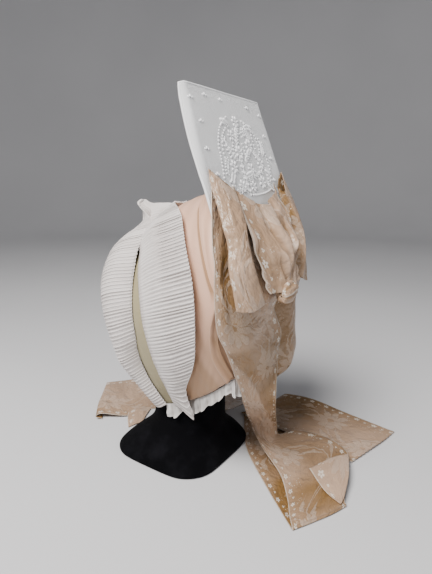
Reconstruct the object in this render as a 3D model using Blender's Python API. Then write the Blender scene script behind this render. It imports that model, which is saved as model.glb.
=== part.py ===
"""Pleated coif with an upright embroidered back board, a satin bow and two long
ribbon tails, standing on a plain black display stand.

All sizes are in millimetres and are scaled to metres when a mesh is written.
World frame: the origin is on the floor under the stand's centre, +Z is up, the
face opening looks towards -Y and the bow towards +Y.
The coif has a frame of its own, leaning forward: x across the head, y from the
face to the back of the head, z up the head.
"""

import math

import bmesh
import bpy
from mathutils import Vector

MM = 0.001
GAP = 0.3

# Where the coif's own frame sits on the stand, and how far it leans forward.
COIF_ORIGIN = Vector((0.0, 40.0, 170.0))
COIF_LEAN = math.radians(19.0)

# The head-shaped hood, one row for each section from the face to the board.
# y, half width, height of the crown, height of the hem, half width at the hem
HOOD_SECTIONS = (
    (-92.0, 60.0, 91.0, -82.0, 42.0),
    (-70.0, 63.0, 94.0, -84.0, 42.0),
    (-45.0, 72.0, 96.0, -85.0, 43.0),
    (-22.0, 78.0, 98.0, -82.0, 44.0),
    (5.0, 80.0, 107.0, -76.0, 47.0),
    (45.0, 80.0, 109.0, -62.0, 53.0),
    (84.0, 77.0, 109.0, -50.0, 56.0),
)
HOOD_WAIST = 15.0
HOOD_UPPER_SHARE = 0.62
HOOD_FRONT = -70.0
# The hood's rear edge, which comes forward below the board to round the nape.
# place along the arch, y
HOOD_REAR = (
    (0.0, 81.0),
    (0.54, 81.0),
    (0.62, 74.0),
    (0.70, 61.0),
    (0.83, 45.0),
    (1.0, 38.0),
)
FOUNDATION_WALL = 1.2

# The panel that closes the back of the head under the board.
# place along the arch of its side edges, y of its middle
NAPE_PANEL = (
    (0.56, 80.8),
    (0.62, 79.5),
    (0.70, 73.0),
    (0.83, 59.0),
    (1.0, 46.0),
)
NAPE_PANEL_CLEARANCE = 2.2

# The silk caul: a front fold with a second fold lapped over it.
CAUL_WALL = 1.2
CAUL_SEAM_COVER = 2.0
CAUL_FRONT_FOLD_SHARE = 0.94
# Front edge of the lapped fold. place along the arch, y
CAUL_LAP = (
    (0.0, 60.0),
    (0.30, 64.0),
    (0.54, 68.0),
    (0.62, 62.0),
    (0.75, 44.0),
    (1.0, 30.0),
)
CAUL_FRONT_PROUD = 2.1
CAUL_BACK_PROUD = 4.4

# Pleated frills. A column of the mesh is half a pleat.
FRILL_WALL = 1.0
FRILL_HALF_PLEATS = 76
PLEAT_DEPTH = 1.3

# Profile of the front frill, from the face edge over the roll to its free edge.
# y, distance out from the hood
FRONT_ROLL = (
    (-71.0, 0.0),
    (-78.0, 3.0),
    (-77.0, 10.0),
    (-69.0, 17.0),
    (-58.0, 22.0),
    (-43.0, 20.0),
    (-27.0, 7.0),
)
# How full the roll is from the crown (0) down to the hem (1).
# place along the arch, fullness out from the hood, behind the face edge, before it
ROLL_FULLNESS = (
    (0.0, 0.30, 0.90, 0.6),
    (0.16, 0.40, 1.04, 0.8),
    (0.31, 0.70, 1.04, 1.2),
    (0.50, 1.00, 1.00, 1.4),
    (0.62, 1.00, 0.92, 1.4),
    (0.75, 0.95, 0.62, 1.4),
    (0.86, 0.62, 0.46, 1.0),
    (1.0, 0.28, 0.30, 0.4),
)
# The peak in the middle of the front frill, which stands up over the crown.
# y, z
PEAK_PROFILE = (
    (-71.0, 94.0),
    (-72.0, 99.0),
    (-66.0, 104.5),
    (-54.0, 107.0),
    (-46.0, 112.0),
    (-47.0, 123.0),
    (-59.0, 135.0),
)
PEAK_PLACE = -0.03
PEAK_HALF_WIDTH = 0.14

# The back frill: its seam, and its free edge from crown to hem.
# place along the arch, y of the seam, y of the free edge, free edge out from the hood
BACK_FRILL_LINES = (
    (0.0, -23.0, -12.0, 20.0),
    (0.07, -23.0, -3.0, 15.0),
    (0.16, -24.0, 14.0, 10.0),
    (0.31, -22.0, 40.0, 10.0),
    (0.44, -18.0, 57.0, 11.0),
    (0.56, -17.0, 57.0, 11.0),
    (0.68, -20.0, 47.0, 11.0),
    (0.80, -27.0, 32.0, 11.0),
    (0.92, -33.0, 12.0, 9.0),
    (1.0, -37.0, -4.0, 7.0),
)
BACK_FRILL_SEAM_PROUD = 4.1

# The sheer frill gathered to the hem, from the wearer's left round the nape.
NAPE_FRILL_START = -42.0
NAPE_FRILL_SEAM = 1.2
NAPE_FRILL_DROP = 14.0
NAPE_HALF_FOLDS = 46
NAPE_FOLD_DEPTH = 1.6
NAPE_WALL = 1.0

# The stiff board: half its width at each height, in the coif's frame.
# z, half width, forward curl of the side edges
BOARD_SECTIONS = (
    (30.5, 72.0, 0.0),
    (40.0, 73.0, 0.0),
    (70.0, 74.0, 0.0),
    (100.0, 73.0, 1.0),
    (116.0, 72.0, 5.0),
    (150.0, 69.5, 9.0),
    (180.0, 66.5, 7.0),
    (192.0, 65.0, 4.0),
)
BOARD_Y = 83.2
BOARD_WALL = 2.4
BOARD_CURL_START = 0.80

# Ribbon: satin brocade about 100 mm wide.
RIBBON_WALL = 1.0

# A bow loop on the wearer's left, one row for each level from its ear down, as a
# ring of four corners: fold edge, outer side, crease, inner side.
# x, distance behind the board, z
LOOP_LEVELS = (
    ((66.5, 2.2, 309.0), (61.0, 6.5, 302.0), (49.0, 13.0, 289.0), (48.0, 4.0, 296.0)),
    ((71.0, 3.4, 291.0), (65.5, 13.0, 287.0), (49.5, 18.0, 277.0), (46.0, 5.0, 284.0)),
    ((74.0, 5.6, 272.0), (70.0, 16.0, 270.0), (55.0, 22.0, 264.0), (45.5, 6.0, 270.0)),
    ((76.5, 7.4, 250.0), (75.0, 17.0, 250.0), (61.0, 25.0, 249.0), (45.5, 6.0, 250.0)),
    ((80.5, 5.4, 228.0), (79.0, 14.0, 228.0), (61.0, 24.0, 228.0), (45.5, 5.4, 228.0)),
    ((87.0, 5.0, 200.0), (74.0, 11.0, 197.0), (54.0, 14.0, 200.0), (45.5, 5.0, 203.0)),
)
LOOP_ROUNDING = 0.3

# The gathered middle of the bow, one row for each height.
# z, half width, side edges behind the board, middle behind it, depth of the folds
BOW_MIDDLE_SECTIONS = (
    (281.0, 36.0, 3.6, 10.4, 1.5),
    (272.0, 41.0, 4.4, 15.4, 3.0),
    (250.0, 44.0, 5.0, 19.4, 4.0),
    (232.0, 44.0, 6.4, 19.4, 4.0),
    (220.0, 44.0, 8.6, 19.0, 3.4),
    (210.0, 40.0, 8.8, 17.4, 2.5),
)
BOW_MIDDLE_FOLDS = 6
KNOT_CENTRE = (6.0, 202.0, 9.0)
KNOT_SIZE = (15.0, 8.5, 8.0)

# Near tail, one row for each station from the bow to its frayed end: the left
# selvage, two points between, and the right selvage.
LEFT_TAIL = (
    ((66.0, 85.8, 300.0), (46.0, 88.2, 293.0), (26.0, 91.2, 284.5), (8.0, 93.7, 277.0)),
    ((82.0, 97.2, 269.0), (64.0, 97.3, 268.0), (36.0, 98.7, 263.0), (5.0, 100.4, 258.0)),
    ((90.0, 105.0, 238.0), (76.0, 107.8, 237.0), (40.0, 108.2, 236.0), (4.0, 108.2, 236.0)),
    ((93.0, 107.0, 208.0), (82.0, 117.5, 207.0), (42.0, 119.6, 204.0), (6.0, 121.0, 203.0)),
    ((90.0, 108.0, 180.0), (76.0, 118.0, 178.0), (44.0, 121.0, 178.0), (9.0, 118.5, 184.0)),
    ((78.0, 108.0, 161.0), (65.0, 117.0, 158.0), (36.0, 122.0, 160.0), (3.0, 121.0, 163.0)),
    ((65.0, 108.5, 135.0), (50.0, 116.0, 134.0), (26.0, 121.5, 134.0), (1.0, 120.5, 138.0)),
    ((52.0, 106.5, 116.0), (36.5, 111.5, 115.5), (16.0, 115.5, 116.0), (-2.0, 118.0, 119.0)),
    ((30.0, 98.2, 92.6), (18.0, 103.5, 92.4), (4.0, 108.0, 93.0), (-8.0, 114.0, 95.0)),
    ((-12.0, 84.0, 52.0), (-17.0, 92.0, 52.0), (-24.0, 101.0, 50.0), (-32.0, 107.0, 46.0)),
    ((-38.0, 76.0, 28.0), (-46.0, 86.0, 24.0), (-60.0, 98.0, 22.5), (-82.0, 103.0, 22.0)),
    ((-55.0, 76.0, 13.0), (-72.0, 86.0, 11.0), (-90.0, 95.0, 12.0), (-110.0, 99.0, 13.0)),
    ((-29.0, 99.0, 9.0), (-52.0, 108.0, 9.0), (-78.0, 117.0, 8.6), (-103.0, 123.0, 8.6)),
    ((5.0, 128.0, 8.0), (-22.0, 137.0, 8.0), (-52.0, 144.0, 8.5), (-86.0, 150.0, 9.5)),
    ((32.0, 149.0, 6.5), (0.0, 159.0, 7.5), (-34.0, 167.0, 8.0), (-70.0, 173.0, 9.0)),
    ((49.0, 159.0, 5.2), (24.0, 171.0, 6.0), (-4.0, 180.0, 7.0), (-36.0, 186.0, 8.0)),
    ((56.0, 164.0, 4.6), (39.0, 174.5, 4.8), (20.0, 185.0, 5.2), (1.0, 194.0, 5.6)),
    ((58.5, 166.0, 2.7), (41.5, 176.5, 2.7), (22.0, 188.0, 2.7), (3.0, 196.5, 3.0)),
    ((56.0, 162.5, 0.8), (39.0, 172.5, 0.8), (20.0, 183.0, 0.8), (0.0, 191.5, 0.8)),
    ((15.0, 118.0, 0.8), (-5.0, 130.0, 0.8), (-27.0, 142.0, 0.8), (-50.0, 150.0, 0.8)),
    ((-46.0, 72.0, 0.8), (-66.0, 82.0, 0.8), (-88.0, 96.0, 0.8), (-108.0, 106.0, 0.8)),
    ((-86.0, 32.0, 0.8), (-105.0, 42.0, 0.8), (-125.0, 52.0, 0.8), (-146.0, 62.0, 1.4)),
    ((-90.0, 26.0, 2.6), (-109.0, 36.0, 3.2), (-130.0, 46.0, 5.0), (-153.0, 56.0, 8.0)),
    ((-86.0, 34.0, 4.4), (-105.0, 45.0, 5.6), (-128.0, 56.0, 9.0), (-153.0, 63.0, 14.0)),
    ((-80.0, 80.0, 4.2), (-105.0, 88.0, 4.6), (-135.0, 95.0, 6.6), (-163.0, 98.0, 11.0)),
    ((-74.0, 130.0, 3.6), (-102.0, 134.0, 3.8), (-132.0, 138.0, 4.4), (-161.0, 142.0, 6.0)),
    ((-66.0, 180.0, 2.0), (-95.0, 189.0, 3.0), (-126.0, 198.0, 3.0), (-156.0, 204.0, 1.6)),
)

# Far tail, in the same form: it curls in under the nape and passes behind the foot.
RIGHT_TAIL = (
    ((-8.0, 110.6, 224.0), (-26.0, 110.6, 224.0), (-44.0, 110.0, 224.0), (-60.0, 108.6, 224.0)),
    ((-7.0, 119.0, 206.0), (-28.0, 118.0, 206.0), (-52.0, 114.5, 206.0), (-76.0, 108.5, 206.0)),
    ((-7.0, 120.0, 174.0), (-28.0, 118.0, 174.0), (-54.0, 111.0, 174.0), (-79.0, 98.0, 175.0)),
    ((-8.0, 122.0, 147.0), (-30.0, 120.0, 147.0), (-55.0, 110.0, 147.0), (-80.0, 94.0, 148.0)),
    ((-10.0, 122.0, 127.0), (-32.0, 119.5, 127.0), (-57.0, 111.0, 127.0), (-82.0, 99.0, 128.0)),
    ((-14.0, 117.0, 109.0), (-36.0, 115.0, 109.0), (-60.0, 107.0, 109.0), (-84.0, 98.0, 109.0)),
    ((-22.0, 105.0, 96.0), (-42.0, 103.0, 95.0), (-64.0, 97.0, 93.0), (-88.0, 89.0, 92.0)),
    ((-36.0, 88.0, 82.0), (-56.0, 85.0, 79.0), (-78.0, 78.0, 75.0), (-102.0, 70.0, 72.0)),
    ((-54.0, 62.0, 54.0), (-72.0, 60.0, 50.0), (-93.0, 54.0, 44.0), (-118.0, 46.0, 38.0)),
    ((-68.0, 34.0, 24.0), (-88.0, 30.0, 18.0), (-110.0, 24.0, 12.0), (-138.0, 16.0, 8.0)),
    ((-74.0, -2.0, 4.0), (-96.0, -8.0, 2.0), (-122.0, -16.0, 1.2), (-150.0, -24.0, 1.2)),
    ((-72.0, -42.0, 1.2), (-92.0, -52.0, 1.2), (-118.0, -68.0, 1.2), (-146.0, -84.0, 1.2)),
    ((-36.0, -80.0, 1.2), (-60.0, -98.0, 1.8), (-86.0, -122.0, 1.8), (-114.0, -148.0, 1.2)),
    ((-2.0, -94.0, 2.0), (-24.0, -116.0, 5.0), (-50.0, -142.0, 4.0), (-82.0, -172.0, 1.4)),
    ((26.0, -122.0, 4.0), (6.0, -140.0, 5.0), (-24.0, -164.0, 4.0), (-54.0, -189.0, 2.0)),
)
RIBBON_ROWS_PER_STATION = 2
RIBBON_COLUMNS = 5
RIBBON_LOWEST = 0.6

# The stand's foot, a rounded square that flares down from the neck.
# z, half size, corner radius, y of the centre
FOOT_SECTIONS = (
    (0.0, 63.0, 37.0, 0.0),
    (3.0, 64.0, 37.5, 0.0),
    (6.0, 62.5, 37.5, 0.0),
    (16.0, 55.5, 37.0, 3.0),
    (25.0, 47.5, 38.5, 6.0),
    (32.0, 43.5, 42.0, 8.0),
    (42.0, 40.5, 40.5, 10.0),
    (60.0, 38.5, 38.5, 12.0),
    (84.0, 37.0, 37.0, 14.0),
    (88.0, 34.0, 34.0, 14.0),
)
FOOT_SIDES = 32
POST_RADIUS = 9.0
POST_CENTRE = (0.0, 33.0)
PAD_BOTTOM = 244.0
PAD_HALF_SPAN = 0.26
PAD_REACH = (14.0, 58.0)
PAD_INSET = 1.5


# Shared working functions

def clear_scene():
    for item in list(bpy.data.objects):
        bpy.data.objects.remove(item, do_unlink=True)


def make_material(name, colour, roughness, sheen=0.0):
    material = bpy.data.materials.new(name)
    material.use_nodes = True
    shader = material.node_tree.nodes["Principled BSDF"]
    shader.inputs["Base Color"].default_value = (*colour, 1.0)
    shader.inputs["Roughness"].default_value = roughness
    shader.inputs["Metallic"].default_value = 0.0
    shader.inputs["Sheen Weight"].default_value = sheen
    return material


def to_world(x, y, z):
    """Turn a point of the coif's leaning frame into the world frame."""
    cos_lean = math.cos(COIF_LEAN)
    sin_lean = math.sin(COIF_LEAN)
    return COIF_ORIGIN + Vector((x, y * cos_lean - z * sin_lean, y * sin_lean + z * cos_lean))


def interpolate(table, place):
    """Read the other columns of a table at a place in its first column, smoothly."""
    if place <= table[0][0]:
        return table[0][1:]
    for index in range(len(table) - 1):
        start = table[index]
        end = table[index + 1]
        if place <= end[0]:
            before = table[max(index - 1, 0)]
            after = table[min(index + 2, len(table) - 1)]
            span = end[0] - start[0]
            share = (place - start[0]) / span
            values = []
            for column in range(1, len(start)):
                slope_in = (end[column] - before[column]) / (end[0] - before[0]) * span
                slope_out = (after[column] - start[column]) / (after[0] - start[0]) * span
                values.append(hermite(start[column], end[column], slope_in, slope_out, share))
            return tuple(values)
    return table[-1][1:]


def hermite(start, end, slope_in, slope_out, share):
    square = share * share
    cube = square * share
    return (
        (2.0 * cube - 3.0 * square + 1.0) * start
        + (cube - 2.0 * square + share) * slope_in
        + (3.0 * square - 2.0 * cube) * end
        + (cube - square) * slope_out
    )


def spline(points, place):
    """A point at a share of the way along a smooth line through a row of points."""
    count = len(points) - 1
    index = min(int(place * count), count - 1)
    share = place * count - index
    start = Vector(points[index])
    end = Vector(points[index + 1])
    before = Vector(points[max(index - 1, 0)])
    after = Vector(points[min(index + 2, count)])
    slope_in = (end - before) * 0.5
    slope_out = (after - start) * 0.5
    return hermite(start, end, slope_in, slope_out, share)


def add_object(name, mesh, material):
    mesh.materials.append(material)
    for polygon in mesh.polygons:
        polygon.use_smooth = True
    item = bpy.data.objects.new(name, mesh)
    bpy.context.collection.objects.link(item)
    return item


def make_sheet(name, columns, rows, point, wall, material, ring=False, offset=0.0):
    """A closed thin wall on the surface point(u, v), with u and v from 0 to 1.

    With ring the first and last columns meet, so the sheet is a tube.
    """
    shape = bmesh.new()
    bmesh.ops.create_grid(shape, x_segments=columns, y_segments=rows, size=0.5)
    for vertex in shape.verts:
        u = vertex.co.x + 0.5
        v = vertex.co.y + 0.5
        vertex.co = point(u, v) * MM
    if ring:
        bmesh.ops.remove_doubles(shape, verts=shape.verts, dist=0.01 * MM)
    mesh = bpy.data.meshes.new(name)
    shape.to_mesh(mesh)
    shape.free()
    item = add_object(name, mesh, material)
    thicken = item.modifiers.new("Wall", "SOLIDIFY")
    thicken.thickness = wall * MM
    thicken.offset = offset
    thicken.use_even_offset = False
    return item


# The hood's surface

def arch_point(y, place, proud=0.0):
    """A point of the hood: place is -1 at the right hem, 0 at the crown, 1 at the left."""
    half_width, crown, hem, hem_half = interpolate(HOOD_SECTIONS, y)
    side = 1.0 if place >= 0.0 else -1.0
    share = abs(place)
    if share < HOOD_UPPER_SHARE:
        angle = math.pi / 2.0 * share / HOOD_UPPER_SHARE
        x = half_width * math.sin(angle)
        z = HOOD_WAIST + (crown - HOOD_WAIST) * math.cos(angle)
        out_x = math.sin(angle) / half_width
        out_z = math.cos(angle) / (crown - HOOD_WAIST)
    else:
        down = (share - HOOD_UPPER_SHARE) / (1.0 - HOOD_UPPER_SHARE)
        narrow = half_width - hem_half
        x = half_width - narrow * down ** 1.8
        z = HOOD_WAIST - (HOOD_WAIST - hem) * down
        out_x = HOOD_WAIST - hem
        out_z = -narrow * 1.8 * down ** 0.8
    length = math.hypot(out_x, out_z)
    return Vector((side * (x + proud * out_x / length), y, z + proud * out_z / length))


def hood_surface(y, place, proud=0.0):
    return to_world(*arch_point(y, place, proud))


def hood_rear(place):
    return interpolate(HOOD_REAR, abs(place))[0]


def build_foundation(material):
    def point(u, v):
        place = 1.0 - 2.0 * u
        y = HOOD_FRONT + (hood_rear(place) - HOOD_FRONT) * v
        return hood_surface(y, place)

    return make_sheet("foundation_cap", 26, 7, point, FOUNDATION_WALL, material)


def nape_panel_point(u, v):
    """A point of the back panel: u across from the left edge, v from the board down."""
    share = NAPE_PANEL[0][0] + (1.0 - NAPE_PANEL[0][0]) * v
    middle_y = interpolate(NAPE_PANEL, share)[0]
    edge = arch_point(hood_rear(share) + NAPE_PANEL_CLEARANCE, share, -0.2)
    turn = (1.0 - 2.0 * u) * math.pi / 2.0
    y = edge.y + (middle_y - edge.y) * math.cos(turn)
    return Vector((edge.x * math.sin(turn), y, edge.z))


def build_caul(material):
    def front_fold(u, v):
        place = (1.0 - 2.0 * u) * 0.97
        start = interpolate(BACK_FRILL_LINES, abs(place))[0] + CAUL_SEAM_COVER
        end = (interpolate(CAUL_LAP, abs(place))[0] + 4.0) * CAUL_FRONT_FOLD_SHARE
        swell = math.sin(math.pi * v) * 0.5
        return hood_surface(start + (end - start) * v, place, CAUL_FRONT_PROUD + swell)

    def back_fold(u, v):
        place = (1.0 - 2.0 * u) * 0.97
        start = interpolate(CAUL_LAP, abs(place))[0]
        y = start + (hood_rear(place) - start) * v
        swell = math.sin(math.pi * min(v * 1.4, 1.0)) * 1.4
        return hood_surface(y, place, CAUL_BACK_PROUD + swell)

    make_sheet("caul_front_fold", 26, 4, front_fold, CAUL_WALL, material)
    make_sheet("caul_back_fold", 26, 3, back_fold, CAUL_WALL, material)
    make_sheet(
        "caul_nape_panel", 14, 6,
        lambda u, v: to_world(*nape_panel_point(u, v)),
        CAUL_WALL, material,
    )


# The frills

def pleat(u, count):
    """Minus one and one by turns, one for each column of the mesh."""
    return 1.0 if round(u * count) % 2 == 0 else -1.0


def interpolate_profile(profile, share):
    """A point at a share of the way along a two-column profile."""
    point = spline([(row[0], row[1], 0.0) for row in profile], share)
    return point.x, point.y


def front_frill_point(u, v):
    place = 1.0 - 2.0 * u
    y, proud = interpolate_profile(FRONT_ROLL, v)
    full_out, full_behind, full_before = interpolate(ROLL_FULLNESS, abs(place))
    face_edge = FRONT_ROLL[0][0]
    y = face_edge + (y - face_edge) * (full_behind if y > face_edge else full_before)
    wave = PLEAT_DEPTH * pleat(u, FRILL_HALF_PLEATS) * min(v * 1.5, 1.0)
    rolled = arch_point(y, place, max(proud * full_out, 0.0) + wave * v + 2.6 * v)
    closeness = (place - PEAK_PLACE) / PEAK_HALF_WIDTH
    weight = math.exp(-closeness * closeness) * min(v * 3.0, 1.0)
    peak_y, peak_z = interpolate_profile(PEAK_PROFILE, v)
    narrow = 1.0 - 0.55 * v
    peak = Vector((rolled.x * narrow + wave * 0.4, peak_y, peak_z + wave * 0.3))
    return to_world(*rolled.lerp(peak, weight))


def back_frill_point(u, v):
    place = 1.0 - 2.0 * u
    seam_y, edge_y, edge_proud = interpolate(BACK_FRILL_LINES, abs(place))
    y = seam_y + (edge_y - seam_y) * v
    proud = BACK_FRILL_SEAM_PROUD + (edge_proud - BACK_FRILL_SEAM_PROUD) * v ** 1.2
    belly = 2.0 * math.sin(math.pi * v) * min(abs(place) * 4.0, 1.0)
    wave = PLEAT_DEPTH * pleat(u, FRILL_HALF_PLEATS) * (0.25 + 0.75 * v)
    return hood_surface(y, place, proud + belly + wave)


def build_frills(material):
    make_sheet("front_frill", FRILL_HALF_PLEATS, 6, front_frill_point, FRILL_WALL, material)
    make_sheet("back_frill", FRILL_HALF_PLEATS, 4, back_frill_point, FRILL_WALL, material)


def hem_line():
    """The hood's hem from the wearer's left side round the nape to the right side."""
    rear = hood_rear(1.0)
    sides = [arch_point(NAPE_FRILL_START + (rear - NAPE_FRILL_START) * step / 6.0, 1.0)
             for step in range(7)]
    nape = [nape_panel_point(step / 8.0, 1.0) for step in range(1, 8)]
    right = [Vector((-corner.x, corner.y, corner.z)) for corner in reversed(sides)]
    return sides + nape + right


def build_nape_frill(material):
    line = hem_line()

    def point(u, v):
        top = spline(line, u)
        along = (spline(line, min(u + 0.01, 1.0)) - spline(line, max(u - 0.01, 0.0))).normalized()
        out = Vector((along.y, -along.x, 0.0)).normalized()
        fold = NAPE_FOLD_DEPTH * pleat(u, NAPE_HALF_FOLDS) * (0.1 + 0.9 * v)
        gathered = to_world(*(top + out * fold - Vector((0.0, 0.0, NAPE_FRILL_SEAM))))
        return gathered - Vector((0.0, 0.0, NAPE_FRILL_DROP * v))

    make_sheet("nape_frill", NAPE_HALF_FOLDS, 2, point, NAPE_WALL, material)


# The board and the bow

def board_back(z):
    """World y of the board's back face at a world height."""
    face = BOARD_Y + BOARD_WALL / 2.0
    height = (z - COIF_ORIGIN.z - face * math.sin(COIF_LEAN)) / math.cos(COIF_LEAN)
    return COIF_ORIGIN.y + face * math.cos(COIF_LEAN) - height * math.sin(COIF_LEAN)


def build_board(material):
    bottom = BOARD_SECTIONS[0][0]
    top = BOARD_SECTIONS[-1][0]

    def point(u, v):
        z = bottom + (top - bottom) * v
        half_width, curl = interpolate(BOARD_SECTIONS, z)
        across = 2.0 * u - 1.0
        edge = max(abs(across) - BOARD_CURL_START, 0.0) / (1.0 - BOARD_CURL_START)
        y = BOARD_Y - curl * edge * edge
        return to_world(half_width * across, y, z)

    return make_sheet("crown_board", 14, 12, point, BOARD_WALL, material)


def spline_ring(corners, place):
    """A point at a share of the way round a closed line with rounded corners."""
    count = len(corners)
    index = int(place * count) % count
    share = place * count - int(place * count)
    start = corners[index]
    end = corners[(index + 1) % count]
    slope_in = (end - corners[index - 1]) * LOOP_ROUNDING
    slope_out = (corners[(index + 2) % count] - start) * LOOP_ROUNDING
    return hermite(start, end, slope_in, slope_out, share)


def build_bow_loop(name, side, material):
    rings = [
        [Vector((side * x, board_back(z) + behind, z)) for x, behind, z in level]
        for level in LOOP_LEVELS
    ]

    def point(u, v):
        corners = [spline([ring[index] for ring in rings], v) for index in range(4)]
        return spline_ring(corners, u)

    return make_sheet(name, 12, 10, point, RIBBON_WALL, material, ring=True)


def build_bow_middle(material):
    def point(u, v):
        sections = BOW_MIDDLE_SECTIONS
        z = sections[0][0] + (sections[-1][0] - sections[0][0]) * v
        rising = tuple(reversed(sections))
        half_width, edge, middle, depth = interpolate(rising, z)
        across = 1.0 - 2.0 * u
        behind = middle + (edge - middle) * across * across
        fold = depth * math.sin(across * math.pi * BOW_MIDDLE_FOLDS)
        return Vector((half_width * across, board_back(z) + behind + fold, z))

    return make_sheet("bow_middle", 24, 5, point, RIBBON_WALL, material)


def build_knot(material):
    x, z, behind = KNOT_CENTRE
    shape = bmesh.new()
    bmesh.ops.create_uvsphere(shape, u_segments=12, v_segments=7, radius=1.0)
    for vertex in shape.verts:
        turn = math.atan2(vertex.co.z, vertex.co.x)
        crease = 1.0 + 0.09 * math.cos(5.0 * turn)
        size = Vector(KNOT_SIZE) * crease
        place = Vector((vertex.co.x * size.x, vertex.co.y * size.y, vertex.co.z * size.z))
        centre = Vector((x, board_back(z) + behind + KNOT_SIZE[1], z))
        vertex.co = (centre + place) * MM
    mesh = bpy.data.meshes.new("bow_knot")
    shape.to_mesh(mesh)
    shape.free()
    return add_object("bow_knot", mesh, material)


def build_ribbon_tail(name, stations, material):
    rows = (len(stations) - 1) * RIBBON_ROWS_PER_STATION

    def point(u, v):
        across = [spline([station[index] for station in stations], v) for index in range(4)]
        place = spline(across, u)
        place.z = max(place.z, RIBBON_LOWEST)
        return place

    return make_sheet(name, RIBBON_COLUMNS, rows, point, RIBBON_WALL, material)


# The display stand

def rounded_square(half_size, radius, count):
    """Points round a square with rounded corners, evenly turned."""
    straight = half_size - radius
    points = []
    for index in range(count):
        angle = 2.0 * math.pi * (index + 0.5) / count
        quarter = int(angle / (math.pi / 2.0))
        corner_x = straight if quarter in (0, 3) else -straight
        corner_y = straight if quarter in (0, 1) else -straight
        points.append((corner_x + radius * math.cos(angle), corner_y + radius * math.sin(angle)))
    return points


def build_foot(material):
    shape = bmesh.new()
    rings = []
    for z, half_size, radius, centre_y in FOOT_SECTIONS:
        outline = rounded_square(half_size, radius, FOOT_SIDES)
        rings.append([shape.verts.new(Vector((x, y + centre_y, z)) * MM) for x, y in outline])
    for lower, upper in zip(rings, rings[1:]):
        for index in range(FOOT_SIDES):
            after = (index + 1) % FOOT_SIDES
            shape.faces.new((lower[index], lower[after], upper[after], upper[index]))
    shape.faces.new(list(reversed(rings[0])))
    shape.faces.new(rings[-1])
    mesh = bpy.data.meshes.new("stand_foot")
    shape.to_mesh(mesh)
    shape.free()
    return add_object("stand_foot", mesh, material)


def build_post(material):
    bottom = FOOT_SECTIONS[-1][0] + GAP
    top = PAD_BOTTOM - GAP
    bpy.ops.mesh.primitive_cylinder_add(
        vertices=20,
        radius=POST_RADIUS * MM,
        depth=(top - bottom) * MM,
        location=(POST_CENTRE[0] * MM, POST_CENTRE[1] * MM, (top + bottom) / 2.0 * MM),
    )
    post = bpy.context.active_object
    post.name = "stand_post"
    post.data.materials.append(material)
    return post


def build_pad(material):
    """A padded block whose top follows the inside of the crown and whose base is flat."""
    shape = bmesh.new()
    bmesh.ops.create_grid(shape, x_segments=8, y_segments=4, size=0.5)
    for vertex in shape.verts:
        u = vertex.co.x + 0.5
        v = vertex.co.y + 0.5
        y = PAD_REACH[0] + (PAD_REACH[1] - PAD_REACH[0]) * v
        roundness = math.sqrt(max(1.0 - (2.0 * v - 1.0) ** 4 * 0.6, 0.0))
        place = PAD_HALF_SPAN * (1.0 - 2.0 * u) * roundness
        vertex.co = hood_surface(y, place, -PAD_INSET) * MM
    top_faces = list(shape.faces)
    lowered = bmesh.ops.extrude_face_region(shape, geom=top_faces)
    for element in lowered["geom"]:
        if isinstance(element, bmesh.types.BMVert):
            element.co.z = PAD_BOTTOM * MM
    bmesh.ops.recalc_face_normals(shape, faces=shape.faces)
    mesh = bpy.data.meshes.new("stand_pad")
    shape.to_mesh(mesh)
    shape.free()
    return add_object("stand_pad", mesh, material)


def main():
    clear_scene()
    velvet = make_material("black velvet", (0.006, 0.006, 0.007), 0.95, 0.3)
    lining = make_material("olive cream lining", (0.42, 0.38, 0.23), 0.85)
    silk = make_material("peach silk", (0.72, 0.52, 0.40), 0.5)
    linen = make_material("white pleated linen", (0.80, 0.76, 0.74), 0.85)
    tulle = make_material("sheer white tulle", (0.62, 0.58, 0.54), 0.8)
    whitework = make_material("white embroidered linen", (0.72, 0.73, 0.75), 0.7)
    satin = make_material("champagne satin brocade", (0.55, 0.40, 0.27), 0.4)

    build_foot(velvet)
    build_post(velvet)
    build_pad(velvet)
    build_foundation(lining)
    build_caul(silk)
    build_frills(linen)
    build_nape_frill(tulle)
    build_board(whitework)
    build_bow_loop("bow_loop_left", 1.0, satin)
    build_bow_loop("bow_loop_right", -1.0, satin)
    build_bow_middle(satin)
    build_knot(satin)
    build_ribbon_tail("ribbon_tail_left", LEFT_TAIL, satin)
    build_ribbon_tail("ribbon_tail_right", RIGHT_TAIL, satin)


main()
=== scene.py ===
import math

import bmesh
import bpy
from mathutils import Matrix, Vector, noise


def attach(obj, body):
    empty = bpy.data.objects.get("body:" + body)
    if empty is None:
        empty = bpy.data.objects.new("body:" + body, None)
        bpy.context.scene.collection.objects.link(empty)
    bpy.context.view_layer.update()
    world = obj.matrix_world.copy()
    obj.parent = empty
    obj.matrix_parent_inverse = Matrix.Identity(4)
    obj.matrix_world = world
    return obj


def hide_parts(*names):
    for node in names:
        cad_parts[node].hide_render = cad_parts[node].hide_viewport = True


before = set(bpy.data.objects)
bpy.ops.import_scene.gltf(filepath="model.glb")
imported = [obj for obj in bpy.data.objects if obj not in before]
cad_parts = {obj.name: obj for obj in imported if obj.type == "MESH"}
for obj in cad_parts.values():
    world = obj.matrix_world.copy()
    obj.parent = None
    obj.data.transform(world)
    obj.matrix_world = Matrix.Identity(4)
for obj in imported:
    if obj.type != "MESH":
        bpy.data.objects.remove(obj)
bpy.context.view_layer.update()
mm = 0.001
print("frame loaded, nodes:", len(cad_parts))

# The coif leans forward on its stand, so it has a frame of its own, in millimetres:
# x across the head, y from the face to the back, z up the head.
leanAngle = math.radians(19.0)
coifOrigin = Vector((0.0, 40.0, 170.0))


def toWorld(x, y, z):
    cosLean, sinLean = math.cos(leanAngle), math.sin(leanAngle)
    return coifOrigin + Vector((x, y * cosLean - z * sinLean, y * sinLean + z * cosLean))


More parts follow.
